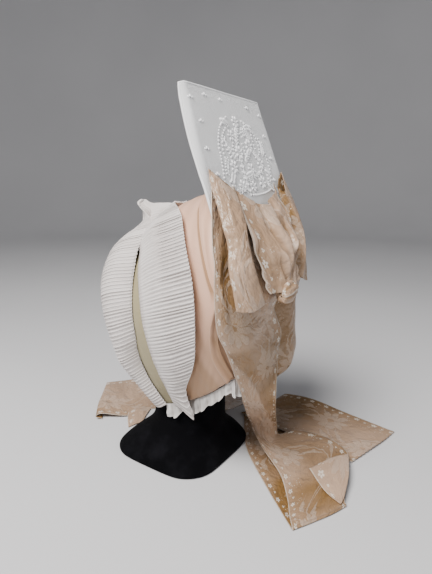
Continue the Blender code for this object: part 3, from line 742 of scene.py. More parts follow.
def napePanelPoint(u, v):
    panel = caulSettings["panel"]
    share = panel[0][0] + (1.0 - panel[0][0]) * v
    middleY = readTable(panel, share)[0]
    edge = archPoint(hoodRear(share) + caulSettings["panelClear"], share, -0.2)
    turn = (1.0 - 2.0 * u) * math.pi / 2.0
    y = edge.y + (middleY - edge.y) * math.cos(turn)
    return Vector((edge.x * math.sin(turn), y, edge.z))


def makeCaul():
    wall = caulSettings["wall"]
    front = makeCloth("caulFrontFold", columns=220, rows=56, place=caulFrontPlace, wall=wall,
                      finish=silk, cut=(0.44, 0.10))
    addToCoif(front, "peach_silk", "caul_front_fold")
    back = makeCloth("caulBackFold", columns=220, rows=26, place=caulBackPlace, wall=wall,
                     finish=silk, cut=(0.44, 0.05))
    addToCoif(back, "peach_silk", "caul_back_fold")

    def panelPlace(u, v):
        gather = 0.5 * math.sin(u * 95.0 + 1.5 * math.sin(v * 3.0)) * ease(0.45, 1.0, v)
        soft = 0.5 * crumple((u * 90.0, v * 90.0, 2.0), 0.06)
        held = min(u * 12.0, 1.0) * min((1.0 - u) * 12.0, 1.0)
        point = napePanelPoint(u, v) + Vector((0.0, (gather + soft) * held * 0.7, 0.0))
        # painted shade, deeper towards the hem and in the gathers
        return toWorld(*point), 0.45 + 0.3 * v - 0.3 * gather

    panel = makeCloth("caulNapePanel", columns=130, rows=44, place=panelPlace, wall=wall, finish=silk,
                      cut=(0.16, 0.11))
    addToCoif(panel, "peach_silk", "caul_nape_panel")
    # the lapped fold's rolled front edge, and a thin dark brown cord just ahead of it that stands for the
    # painted shadow line under that edge
    steps = [step / 160.0 - 0.5 for step in range(161)]
    fold = [caulBackPlace(0.5 + step * caulSettings["foldEdgeShare"], 0.0)[0] for step in steps]
    addToCoif(makeCord("caulFoldEdge", [fold], caulSettings["foldEdge"], silk, 4), "peach_silk")
    lapShadow = [caulFrontPlace(0.5 + step * caulSettings["lapShadowShare"], 0.945)[0] for step in steps]
    addToCoif(makeCord("caulLapShadow", [lapShadow], caulSettings["lapShadow"], thread, 4), "peach_silk")


# The pleated frills.

frillSettings = {
    "pleats": 157,
    "columnsEach": 6,
    "depth": 0.92,
    "lean": 0.30,
    "wall": 0.42,
    # y and distance out from the hood, from the face edge over the roll to the free edge
    "roll": ((-71.0, 0.0), (-78.0, 3.0), (-77.0, 10.0), (-69.0, 17.0), (-58.0, 22.0),
             (-42.0, 18.0), (-26.5, 2.2)),
    # place along the arch, fullness out, behind the face edge, before it
    "fullness": (
        (0.0, 0.20, 0.98, 0.3), (0.12, 0.28, 1.20, 0.5), (0.20, 0.46, 1.24, 0.9),
        (0.31, 0.70, 1.15, 1.2), (0.44, 0.95, 1.09, 1.4), (0.56, 1.00, 0.96, 1.4),
        (0.68, 0.98, 0.71, 1.4), (0.76, 0.95, 0.46, 1.4), (0.86, 0.62, 0.31, 1.0), (1.0, 0.28, 0.30, 0.4),
    ),
    # y, z of the peak over the crown, from the face edge to its tip
    "peak": ((-71.0, 92.0), (-70.0, 96.0), (-62.0, 101.0), (-50.0, 104.0), (-40.0, 110.0),
             (-43.0, 123.0), (-60.0, 135.5)),
    "peakPlace": -0.03,
    "peakHalfWidth": 0.14,
    # place, y of the seam, y of the free edge, free edge out from the hood
    "backLines": (
        (0.0, -23.0, 1.0, 8.0), (0.07, -23.0, 5.0, 8.5), (0.16, -24.0, 19.0, 8.5),
        (0.24, -22.0, 34.0, 9.5), (0.31, -19.0, 44.0, 10.0), (0.44, -15.0, 53.0, 11.0),
        (0.56, -15.5, 55.5, 11.0), (0.68, -22.0, 48.0, 11.0), (0.80, -31.0, 32.0, 10.0),
        (0.86, -35.0, 17.5, 9.0), (0.92, -39.0, -6.0, 7.0), (0.96, -42.0, -20.0, 6.0),
        (1.0, -45.0, -28.0, 5.0),
    ),
    "seamProud": 4.1,
    "pinch": 0.13,
    "tongue": {"from": 0.92, "reach": (-2.0, 15.0, -17.0)},
    # the ridge from the horn back to the caul, over the crown: y, z
    "ridge": ((-55.0, 129.0), (-49.0, 132.5), (-43.6, 128.4), (-35.6, 124.6), (-27.4, 122.0),
              (-17.7, 120.0), (-10.2, 116.4), (-5.7, 112.8), (2.0, 107.8)),
    "saddle": {"columns": 150, "rows": 48, "spread": (12.0, 24.0), "pleats": 34},
    "crownRoll": {"start": 0.480, "reach": 0.07, "radius": 2.3},
    "hem": 0.36,
}


def pleatWave(u):
    # height of a pleat from -1 to 1, rounder at the crest than in the valley, and its lean
    pleat = u * frillSettings["pleats"]
    uneven = 0.85 + 0.5 * noise.noise(Vector((math.floor(pleat) * 0.73, 11.0, 0.0)))
    ridge = abs(math.sin(math.pi * pleat)) ** 0.75
    return (2.0 * ridge - 1.0) * uneven, math.sin(2.0 * math.pi * pleat)


def alongArch(u, amount):
    # place on the arch, with the pleats leaning over and a little uneven
    count = frillSettings["pleats"]
    uneven = 0.7 * noise.noise(Vector((u * count * 0.31, 4.0, 0.0))) / count
    lean = frillSettings["lean"] * pleatWave(u)[1] * amount / count
    return 1.0 - 2.0 * (u + uneven * min(u * 20.0, 1.0) * min((1.0 - u) * 20.0, 1.0) + lean)


def toPinch(along, share):
    # the pleats run together where the frills are pinched beside the crown
    pinch = frillSettings["pinch"] * math.tanh(along * 22.0)
    near = math.exp(-((along - pinch) / 0.19) ** 2)
    return along + (pinch - along) * 0.72 * near * share


def onRoll(profile, share):
    point = throughPoints([(row[0], row[1], 0.0) for row in profile], share)
    return point.x, point.y


def frontFrillPlace(u, v):
    settings = frillSettings
    plain = min(max(alongArch(u, ease(0.05, 0.5, v)), -1.0), 1.0)
    along = toPinch(plain, v ** 3)
    height, _ = pleatWave(u)
    y, proud = onRoll(settings["roll"], v)
    fullOut, fullBehind, fullBefore = readTable(settings["fullness"], abs(along))
    faceEdge = settings["roll"][0][0]
    y = faceEdge + (y - faceEdge) * (fullBehind if y > faceEdge else fullBefore)
    loose = crumple((along * 55.0, v * 60.0, 1.0), 0.055) * 1.1 * math.sin(math.pi * v)
    loose += 0.35 * crumple((along * 230.0, v * 60.0, 8.0), 0.16)
    wave = settings["depth"] * height * min(v * 2.2, 1.0) * (0.30 + 0.60 * v)
    # near the crown the free edge lies over the back frill's seam
    over = 2.2 * v * v * (1.0 - ease(0.28, 0.42, abs(along)))
    out = max(proud * fullOut, 0.0) + loose * (1.0 - 0.7 * v) + wave + 2.6 * v + over
    rolled = archPoint(y, along, out)
    closeness = (plain - settings["peakPlace"]) / settings["peakHalfWidth"]
    weight = math.exp(-closeness * closeness) * min(v * 3.0, 1.0)
    peakY, peakZ = onRoll(settings["peak"], v)
    narrow = 1.0 - 0.55 * v
    peak = Vector((rolled.x * narrow + wave * 0.5, peakY + 0.3 * wave, peakZ + wave * 0.35))
    point = toWorld(*rolled.lerp(peak, weight))
    # painted shade in the pleat valleys, near the hem ends and on the horn near its tip
    shaded = 0.30 * ease(0.86, 1.0, abs(along)) + 0.25 * weight * ease(0.55, 1.0, v)
    return point, 0.14 - 0.36 * height * min(v * 3.0, 1.0) + shaded


def backFrillPlace(u, v):
    settings = frillSettings
    along = min(max(alongArch(u, ease(0.1, 0.7, v)), -1.0), 1.0)
    height, _ = pleatWave(u)
    seamY, edgeY, edgeProud = readTable(settings["backLines"], abs(along))
    closing = 1.0 - ease(0.27, 0.38, abs(along))
    seamY -= 11.0 * closing
    along = toPinch(along, (1.0 - v) ** 2)
    y = seamY + (edgeY - seamY) * v
    proud = settings["seamProud"] + (edgeProud - settings["seamProud"]) * v ** 1.2
    belly = 2.0 * math.sin(math.pi * v) * min(abs(along) * 4.0, 1.0)
    loose = crumple((along * 60.0, v * 50.0, 7.0), 0.05) * 0.9 * math.sin(math.pi * min(v * 1.2, 1.0))
    loose += 0.35 * crumple((along * 230.0, v * 40.0, 3.0), 0.16)
    loose += 2.4 * closing * (1.0 - ease(0.0, 0.5, v))
    tail = settings["tongue"]
    loosened = ease(tail["from"], 1.0, along)
    wave = settings["depth"] * height * (0.25 + 0.75 * ease(0.0, 0.6, v)) * (1.0 - 0.7 * loosened)
    point = hoodSurface(y, along, max(proud + belly + loose + wave, 3.6))
    # the loose end of the frill hangs below the hem as a short tongue on the near side
    rounded = 1.0 - 0.40 * loosened * ease(0.72, 1.0, v)
    point = point + Vector(tail["reach"]) * loosened ** 1.3 * ease(0.2, 0.95, v) ** 1.3 * rounded
    # painted shade in the pleat valleys, along the gathered seam and near the hem ends
    seamShade = 0.35 * (1.0 - ease(0.04, 0.10, v))
    shaded = 0.25 * ease(0.84, 1.0, abs(along))
    return point, 0.16 - 0.50 * height * ease(0.02, 0.2, v) + seamShade + shaded


def saddlePlace(u, v):
    # the frill pinched up over the crown between its horn and the caul
    settings = frillSettings
    saddle = settings["saddle"]
    side = 1.0 - 2.0 * u
    y, top = onRoll(settings["ridge"], v)
    reach = saddle["spread"][0] + (saddle["spread"][1] - saddle["spread"][0]) * ease(0.0, 0.8, v)
    x = side * reach
    base = archPoint(y, 0.0).z - 0.0042 * x * x + 4.6
    drop = abs(side) ** 0.62
    pleats = math.sin(math.pi * saddle["pleats"] * u + 2.0 * math.sin(3.0 * v))
    wave = 0.55 * pleats * ease(0.1, 0.4, abs(side)) * (0.5 + 0.5 * v)
    soft = 1.6 * crumple((x, y, 3.0), 0.09) * (1.0 - abs(side))
    z = top + (base - top) * drop + wave + soft
    back = 4.0 * (1.0 - abs(side)) * math.sin(math.pi * v)
    # painted shade in the saddle's hollow flanks, at its rim and in its pleat valleys
    concaveShade = 1.1 * math.exp(-((v - 0.66) / 0.16) ** 2) * ease(0.0, 0.25, abs(side))
    rim = 0.6 * ease(0.9, 1.0, v)
    return toWorld(x, y + back * 0.4, z), 0.10 + concaveShade + rim - 0.35 * pleats * ease(0.1, 0.4, abs(side))


def makeFrills():
    settings = frillSettings
    columns = settings["pleats"] * settings["columnsEach"]
    saddle = makeCloth("crownSaddle", columns=settings["saddle"]["columns"],
                       rows=settings["saddle"]["rows"], place=saddlePlace, wall=settings["wall"],
                       finish=frillLinen, cut=(0.07, 0.09))
    addToCoif(saddle, "white_pleated_linen")
    front = makeCloth("frontFrill", columns=columns, rows=34, place=frontFrillPlace,
                      wall=settings["wall"], finish=frillLinen, cut=(0.9, 0.10))
    addToCoif(front, "white_pleated_linen", "front_frill")
    back = makeCloth("backFrill", columns=columns, rows=32, place=backFrillPlace,
                     wall=settings["wall"], finish=frillLinen, cut=(0.9, 0.08))
    addToCoif(back, "white_pleated_linen", "back_frill")
    # the thick rolled tip of the frill over the crown
    roll = settings["crownRoll"]
    tip = [frontFrillPlace(roll["start"] + roll["reach"] * step / 20.0, 0.98)[0] for step in range(21)]
    cord = makeCord("crownRoll", [tip], roll["radius"], frillLinen, 8,
                    lambda share: 0.2 + 0.8 * math.sin(math.pi * share))
    addToCoif(cord, "white_pleated_linen")
    # rolled hems on both free edges
    hems = [[place(step / columns, 1.0)[0] for step in range(columns + 1)]
            for place in (frontFrillPlace, backFrillPlace)]
    addToCoif(makeCord("frillHems", hems, settings["hem"], frillLinen, 3), "white_pleated_linen")


# The sheer frill at the nape.

napeSettings = {"start": -60.0, "seam": 1.2, "drop": 14.0, "folds": 25, "depth": 1.9, "wall": 0.3,
                "hem": 0.3}


def hemLine():
    start, rear = napeSettings["start"], hoodRear(1.0)
    sides = [archPoint(start + (rear - start) * step / 6.0, 1.0) for step in range(7)]
    nape = [napePanelPoint(step / 8.0, 1.0) for step in range(1, 8)]
    return sides + nape + [Vector((-corner.x, corner.y, corner.z)) for corner in reversed(sides)]


def makeNapeFrill():
    settings = napeSettings
    line = hemLine()

    def place(u, v):
        top = throughPoints(line, u)
        ahead = throughPoints(line, min(u + 0.01, 1.0)) - throughPoints(line, max(u - 0.01, 0.0))
        out = Vector((ahead.y, -ahead.x, 0.0)).normalized()
        turn = 2.0 * math.pi * settings["folds"] * (u + 0.012 * crumple((u * 40.0, 0.0, 0.0), 0.3))
        drift = 2.4 * crumple((u * 30.0, v * 1.4, 4.0), 0.5)
        wave = (0.6 * math.sin(turn + drift) + 0.40 * math.sin(2.3 * turn + 1.0 - 2.0 * v)
                + 1.3 * crumple((u * 75.0, v * 4.0, 0.0), 0.5))
        fold = settings["depth"] * wave * (0.12 + 0.88 * v)
        uneven = 0.96 + 0.55 * crumple((u * 60.0, 2.0, 0.0), 0.25) + 0.06 * math.sin(turn)
        gathered = toWorld(*(top + out * fold * 0.75 - Vector((0.0, 0.0, settings["seam"]))))
        # painted shade in the valleys of the gathers
        return gathered - Vector((0.0, 0.0, settings["drop"] * uneven * v)), 0.35 - 0.4 * wave

    nape = makeCloth("napeFrill", columns=settings["folds"] * 22, rows=18, place=place,
                     wall=settings["wall"], finish=tulle, cut=(0.5, 0.02))
    addToCoif(nape, "sheer_white_tulle", "nape_frill")
    edge = [place(step / 700.0, 1.0)[0] for step in range(701)]
    addToCoif(makeCord("napeFrillHem", [edge], settings["hem"], tulle, 3), "sheer_white_tulle")


# The stiff board behind the crown, with its white embroidery.

boardSettings = {
    # z, half width, forward curl of the side edges
    "sections": (
        (30.5, 72.0, 0.0), (40.0, 73.0, 0.0), (70.0, 74.0, 0.0), (100.0, 73.0, 1.0), (116.0, 72.0, 2.6),
        (150.0, 69.5, 4.6), (180.0, 66.5, 4.4), (192.0, 65.0, 3.0),
    ),
    "y": 83.2,
    "wall": 1.7,
    "curlStart": 0.92,
    "piping": 1.25,
}


def boardPoint(x, z, behind=0.0):
    # a point of the board at x and z of the coif's frame, some way behind its middle
    halfWidth, curl = readTable(boardSettings["sections"], z)
    across = x / halfWidth
    start = boardSettings["curlStart"]
    edge = max(abs(across) - start, 0.0) / (1.0 - start)
    soft = 0.35 * crumple((x, z, 0.0), 0.022) + 0.12 * crumple((x, z, 4.0), 0.075)
    y = boardSettings["y"] - curl * edge * edge + soft + behind
    return toWorld(x, y, z)


def makeBoard():
    settings = boardSettings
    bottom, top = settings["sections"][0][0], settings["sections"][-1][0]

    def place(u, v):
        z = bottom + (top - bottom) * v
        halfWidth = readTable(settings["sections"], z)[0]
        across = 2.0 * u - 1.0
        # painted shade, a little deeper at the curled side edges
        return boardPoint(halfWidth * across, z), 0.12 + 0.1 * ease(0.9, 1.0, abs(across))

    board = makeCloth("crownBoard", columns=90, rows=100, place=place, wall=settings["wall"],
                      finish=boardLinen, cut=(0.145, 0.165))
    addToCoif(board, "white_embroidered_linen", "crown_board")
    # the piped edge, up one side, over the top and down the other
    heights = [bottom + (top - bottom) * step / 60.0 for step in range(61)]
    halfTop = settings["sections"][-1][1]
    outline = [boardPoint(readTable(settings["sections"], z)[0], z) for z in heights]
    outline += [boardPoint(halfTop * (1.0 - 2.0 * step / 40.0), top) for step in range(1, 41)]
    outline += [boardPoint(-readTable(settings["sections"], z)[0], z) for z in reversed(heights)]
    piping = makeCord("boardPiping", [outline], settings["piping"], boardLinen, 6)
    addToCoif(piping, "white_embroidered_linen")


# Whitework in satin stitch on the board's back: x and z in the coif's frame.
whiteworkSettings = {
    "lift": 0.95,
    # x, z, size, petals, turn
    "flowers": (
        (-2.5, 165.0, 6.4, 7, 0.2), (12.0, 151.0, 6.0, 6, 0.0), (-17.0, 143.0, 7.6, 8, 0.5),
        (5.0, 135.0, 7.6, 8, 0.3),
        (-31.0, 126.0, 7.0, 7, 0.9), (21.0, 121.0, 7.0, 7, 0.4), (-9.0, 120.0, 6.6, 6, 0.1),
        (-25.0, 107.0, 7.4, 7, 0.6), (15.0, 103.0, 7.0, 6, 0.2), (31.0, 106.0, 5.4, 5, 0.3),
        (-42.0, 112.0, 5.4, 6, 0.7), (-12.0, 156.0, 5.2, 6, 0.9), (-5.0, 103.0, 6.0, 6, 0.5),
    ),
    # lines of round stitches: start, middle, end, number
    "beads": (
        ((12.5, 168.0), (33.0, 158.0), (38.0, 137.0), 12),
        ((38.5, 133.0), (39.5, 122.0), (44.0, 107.0), 9),
        ((18.6, 157.0), (37.0, 144.0), (31.5, 121.0), 12),
        ((-14.0, 167.0), (-34.0, 161.0), (-36.0, 145.0), 10),
        ((-36.0, 141.0), (-35.0, 134.0), (-24.0, 132.0), 5),
        ((-7.0, 151.0), (-2.0, 158.0), (6.0, 157.0), 5),
        ((-39.0, 152.0), (-51.0, 133.0), (-46.0, 114.0), 12),
        ((12.0, 144.0), (17.0, 136.0), (13.6, 127.0), 6),
        ((-4.0, 144.0), (-8.0, 136.0), (-3.0, 128.0), 6),
        ((-28.0, 158.0), (-25.0, 150.0), (-28.0, 141.0), 6),
        ((24.0, 148.0), (26.0, 138.0), (22.0, 130.0), 6),
        ((-38.0, 100.0), (-20.0, 94.0), (4.0, 95.0), 12),
    ),
    "beadSize": 1.3,
    # stems: start, middle, end
    "stems": (
        ((5.0, 94.0), (8.0, 112.0), (6.0, 128.0)), ((6.0, 142.0), (2.0, 152.0), (-2.0, 159.0)),
        ((-2.0, 126.0), (-10.0, 134.0), (-15.0, 138.0)), ((24.0, 116.0), (28.0, 112.0), (30.0, 108.0)),
        ((6.0, 112.0), (-2.0, 114.0), (-8.0, 116.0)), ((6.0, 104.0), (20.0, 97.0), (36.0, 97.0)),
        ((4.0, 108.0), (-14.0, 112.0), (-30.0, 118.0)), ((-20.0, 139.0), (-26.0, 134.0), (-30.0, 131.0)),
        ((12.0, 128.0), (24.0, 132.0), (26.0, 146.0)), ((-36.0, 122.0), (-42.0, 120.0), (-43.0, 116.0)),
        ((10.0, 160.0), (16.0, 165.0), (22.0, 162.0)), ((-14.0, 160.0), (-22.0, 164.0), (-28.0, 160.0)),
        ((-22.0, 148.0), (-20.0, 153.0), (-16.0, 158.0)), ((-40.0, 134.0), (-44.0, 140.0), (-42.0, 148.0)),
        ((28.0, 130.0), (34.0, 124.0), (35.0, 114.0)), ((-34.0, 108.0), (-38.0, 102.0), (-46.0, 100.0)),
    ),
    "stemSize": 0.38,
    # small sprigs of three leaves in the ground
    "sprigs": (
        (60.0, 178.0), (38.0, 183.0), (14.0, 182.0), (-33.0, 181.0), (-56.0, 176.0), (54.0, 158.0),
        (57.0, 134.0), (52.0, 112.0), (-54.0, 154.0), (-56.0, 131.0), (-50.0, 108.0), (20.0, 136.0),
        (-14.0, 116.0), (56.0, 92.0), (-56.0, 88.0),
    ),
    # how far out from its sprig or stem a leaf is, and its half length and half width
    "sprigLeaf": (2.4, 1.7, 0.85),
    "stemLeaf": (2.4, 2.3, 0.95),
    "leafLean": 0.75,
}


def addPad(shape, x, z, long, wide, turn, lift):
    # one raised pad of stitches, long and wide along the board and low off it
    lobe = bmesh.ops.create_icosphere(shape, subdivisions=1, radius=1.0)["verts"]
    cosTurn, sinTurn = math.cos(turn), math.sin(turn)
    for vertex in lobe:
        alongPad, acrossPad, off = vertex.co.x * long, vertex.co.y * wide, vertex.co.z * 0.95
        taper = 1.0 - 0.35 * vertex.co.x
        padX = x + alongPad * cosTurn - acrossPad * taper * sinTurn
        padZ = z + alongPad * sinTurn + acrossPad * taper * cosTurn
        vertex.co = boardPoint(padX, padZ, lift + max(off, -0.12)) * mm


def alongBend(start, middle, end, share):
    # x and z on a bend from start to end that leans towards middle
    rest = 1 - share
    return tuple(first * rest ** 2 + 2 * lean * share * rest + last * share ** 2
                 for first, lean, last in zip(start, middle, end))


def makeWhitework():
    settings = whiteworkSettings
    shape = bmesh.new()
    lift = settings["lift"]

    def addAround(x, z, angle, out, long, wide):
        # a pad out from x and z at an angle, with its narrow end inwards
        addPad(shape, x + out * math.cos(angle), z + out * math.sin(angle), long, wide,
               angle + math.pi, lift)

    for x, z, size, petals, turn in settings["flowers"]:
        for index in range(petals):
            addAround(x, z, turn + 2.0 * math.pi * index / petals, size * 0.62, size * 0.40, size * 0.23)
        for index in range(6):
            angle = 2.0 * math.pi * index / 6.0
            addPad(shape, x + size * 0.17 * math.cos(angle), z + size * 0.17 * math.sin(angle),
                   0.62, 0.62, 0.0, lift)
    for start, middle, end, count in settings["beads"]:
        for index in range(count):
            x, z = alongBend(start, middle, end, index / (count - 1.0))
            addPad(shape, x, z, settings["beadSize"], settings["beadSize"], 0.0, lift)
    for x, z in settings["sprigs"]:
        for angle in (0.6, 1.57, 2.54):
            addAround(x, z, angle, *settings["sprigLeaf"])
    lines = []
    for start, middle, end in settings["stems"]:
        ahead = math.atan2(end[1] - start[1], end[0] - start[0])
        line = []
        for step in range(13):
            x, z = alongBend(start, middle, end, step / 12.0)
            line.append(boardPoint(x, z, lift + 0.2))
            if step % 2 == 1:
                for lean in (settings["leafLean"], -settings["leafLean"]):
                    addAround(x, z, ahead + lean, *settings["stemLeaf"])
        lines.append(line)
    addToCoif(finishPiece("whiteworkStitches", shape, stitchCotton), "white_embroidered_linen")
    stems = makeCord("whiteworkStems", lines, settings["stemSize"], stitchCotton, 4)
    addToCoif(stems, "white_embroidered_linen")


# The satin bow.

bowSettings = {
    "wall": 0.6,
    # x, behind the board, z of four corners: fold edge, outer side, crease, inner side
    "levels": (
        ((66.5, 2.2, 309.0), (61.0, 6.0, 302.0), (49.0, 11.0, 290.0), (46.0, 4.0, 296.0)),
        ((71.0, 3.4, 291.0), (66.0, 11.0, 287.0), (54.0, 15.5, 278.0), (44.0, 5.0, 284.0)),
        ((74.0, 5.6, 272.0), (71.0, 14.0, 270.0), (60.5, 19.0, 265.0), (45.0, 6.0, 270.0)),
        ((77.0, 7.4, 250.0), (75.0, 16.0, 250.0), (66.0, 20.5, 249.0), (47.0, 6.0, 250.0)),
        ((82.0, 5.4, 228.0), (79.0, 14.0, 228.0), (66.0, 20.0, 228.0), (47.0, 5.4, 228.0)),
        ((87.0, 5.0, 200.0), (74.0, 11.0, 197.0), (55.0, 13.0, 200.0), (46.0, 5.0, 203.0)),
    ),
    "rightLevels": (
        ((66.5, 2.2, 309.0), (61.0, 5.5, 302.0), (49.0, 10.0, 289.0), (46.0, 4.0, 294.0)),
        ((70.0, 3.0, 291.0), (63.5, 8.0, 287.0), (49.5, 13.0, 277.0), (44.0, 5.0, 282.0)),
        ((72.0, 4.4, 272.0), (65.0, 9.5, 270.0), (50.0, 16.0, 264.0), (42.5, 6.0, 268.0)),
        ((71.0, 4.6, 250.0), (64.0, 9.0, 250.0), (50.0, 17.0, 249.0), (41.5, 6.0, 250.0)),
        ((69.0, 4.0, 228.0), (60.0, 7.0, 228.0), (46.0, 15.0, 228.0), (38.5, 5.4, 228.0)),
        ((58.0, 2.6, 199.0), (50.0, 4.0, 201.0), (38.0, 8.0, 206.0), (33.5, 4.0, 208.0)),
    ),
    "rounding": 0.3,
    # across from the right side, top and bottom edges, how far behind the board at each
    "middle": (
        (-43.0, 298.0, 226.0, 3.6, 7.0), (-36.0, 293.0, 219.0, 4.6, 12.0),
        (-15.0, 285.0, 210.0, 8.4, 17.0), (3.0, 279.0, 206.0, 10.4, 18.4),
        (20.0, 281.5, 204.0, 9.4, 18.0), (36.0, 290.0, 205.0, 6.0, 13.5), (44.0, 296.0, 206.0, 4.2, 10.0),
    ),
    "middleHalf": 44.0,
    "middleBulge": 5.5,
    "folds": 3.4,
    "foldDepth": 3.0,
    "creaseDepth": 2.6,
    "gatherX": 10.0,
    # x and z that the creases fan out from
    "fanFrom": (12.0, 192.0),
    "fanCount": 46.0,
    "boardHalfWall": 1.2,
    "knotCentre": (16.0, 203.0, 8.5),
    "knotSize": (12.0, 7.5, 8.5),
}


def boardBack(z):
    # world y of the board's back face at a world height
    face = boardSettings["y"] + bowSettings["boardHalfWall"]
    height = (z - coifOrigin.z - face * math.sin(leanAngle)) / math.cos(leanAngle)
    return coifOrigin.y + face * math.cos(leanAngle) - height * math.sin(leanAngle)


def roundRing(corners, place):
    count = len(corners)
    index = int(place * count) % count
    share = place * count - int(place * count)
    start, end = corners[index], corners[(index + 1) % count]
    rounding = bowSettings["rounding"]
    slopeIn = (end - corners[index - 1]) * rounding
    slopeOut = (corners[(index + 2) % count] - start) * rounding
    return hermite(start, end, slopeIn, slopeOut, share)


def makeBow():
    settings = bowSettings
    for name, side, levels in (("Left", 1.0, settings["levels"]),
                               ("Right", -1.0, settings["rightLevels"])):
        rings = [[Vector((side * x, boardBack(z) + behind, z)) for x, behind, z in level]
                 for level in levels]

        def place(u, v):
            corners = [throughPoints([ring[index] for ring in rings], v) for index in range(4)]
            point = roundRing(corners, u % 1.0 if u < 1.0 else 0.0)
            centre = sum(corners, Vector()) / 4.0
            out = (point - centre).normalized()
            soft = 1.1 * crumple(point, 0.05) + 0.5 * crumple(point, 0.14, 3.0)
            gather = 0.35 * math.sin(u * 44.0 + 6.0 * v) * (1.0 - ease(0.05, 0.5, v))
            # tone that differs at random, and painted shade on the inside of the loop
            inside = ease(0.50, 0.60, u)
            return point + out * (soft + gather), 0.30 + 0.25 * crumple(point, 0.03) + 0.55 * inside

        loop = makeCloth("bowLoop" + name, columns=96, rows=96, place=place, wall=settings["wall"],
                         finish=satin, cut=(0.104, 0.108), ring=True)
        addToCoif(loop, "champagne_satin_brocade", "bow_loop_left" if side > 0 else "bow_loop_right")

    def middlePlace(u, v):
        leftX, rightX = settings["middle"][-1][0], settings["middle"][0][0]
        x = leftX + (rightX - leftX) * u
        top, bottom, topBehind, bottomBehind = readTable(settings["middle"], x)
        across = x / settings["middleHalf"]
        z = top + (bottom - top) * v
        bulge = settings["middleBulge"] * math.sin(math.pi * min(v * 1.15, 1.0)) * (1.0 - across * across)
        behind = topBehind + (bottomBehind - topBehind) * ease(0.0, 0.7, v) + bulge
        # the folds gather towards the knot
        gathered = across * (1.0 + 0.35 * v) + 0.30 * crumple((x, z * 0.6, 0.0), 0.055)
        turn = math.sin(gathered * math.pi * settings["folds"] + 0.9)
        fold = math.copysign(abs(turn) ** 0.6, turn)
        fold *= 0.3 + 0.7 * math.sin(math.pi * min(0.10 + v, 1.0))
        fold *= 1.0 - 0.75 * ease(0.35, 0.55, across) * (1.0 - ease(0.80, 0.92, across))
        narrow = 1.0 - (0.34 - 0.30 * ease(-0.1, 0.5, across)) * ease(0.45, 1.0, v)
        # sharp creases that fan out from the knot, thrown up where the cloth is nipped
        fanX, fanZ = settings["fanFrom"]
        fan = math.atan2(x - fanX, z - fanZ) * settings["fanCount"]
        smooth = ease(0.40, 0.52, across) * (1.0 - ease(0.86, 0.95, across))
        nipped = (1.0 - 3.2 * abs(crumple((fan, z * 0.16, 5.0), 0.085))) * (1.0 - 0.8 * smooth)
        soft = 1.4 * crumple((x, z, 0.0), 0.07) + settings["creaseDepth"] * nipped
        folded = settings["foldDepth"] * fold * (1.0 - 0.5 * across * across)
        pulledX = settings["gatherX"] + (x - settings["gatherX"]) * narrow
        off = max(behind + folded + soft, 2.2)
        # painted shade in the fold and crease valleys
        return Vector((pulledX, boardBack(z) + off, z)), 0.42 - 0.30 * fold - 0.30 * nipped

    middle = makeCloth("bowMiddle", columns=168, rows=90, place=middlePlace, wall=settings["wall"],
                       finish=satin, cut=(0.104, 0.072))
    addToCoif(middle, "champagne_satin_brocade", "bow_middle")

    x, z, behind = settings["knotCentre"]
    size = Vector(settings["knotSize"])

    def knotPlace(u, v):
        # a crumpled band wrapped round the bow, its creases running into its ends
        turn = 2.0 * math.pi * u
        across = math.pi * (0.002 + 0.996 * v)
        ring = math.sin(across) ** 0.55
        wander = 2.2 * crumple((math.cos(turn), math.sin(turn), 2.0 * math.cos(across)), 1.3)
        creases = 0.055 * math.sin(5.0 * turn + wander) + 0.03 * math.sin(11.0 * turn - wander)
        lumps = 0.16 * crumple((math.cos(turn) * ring, math.sin(turn) * ring, math.cos(across)), 1.6)
        full = ring * (1.0 + creases + lumps)
        tilt = 0.25 * math.cos(across)
        point = Vector((-size.x * math.cos(across) * (1.0 + lumps), size.y * full * math.cos(turn),
                        size.z * full * math.sin(turn) + size.z * tilt))
        # painted shade in the crease valleys
        return point + Vector((x, boardBack(z) + behind + size.y, z)), 0.50 - 4.0 * creases

    knot = makeCloth("bowKnot", columns=84, rows=56, place=knotPlace, wall=settings["wall"],
                     finish=satin, cut=(0.052, 0.034), ring=True)
    addToCoif(knot, "champagne_satin_brocade", "bow_knot")


# The two ribbon tails.

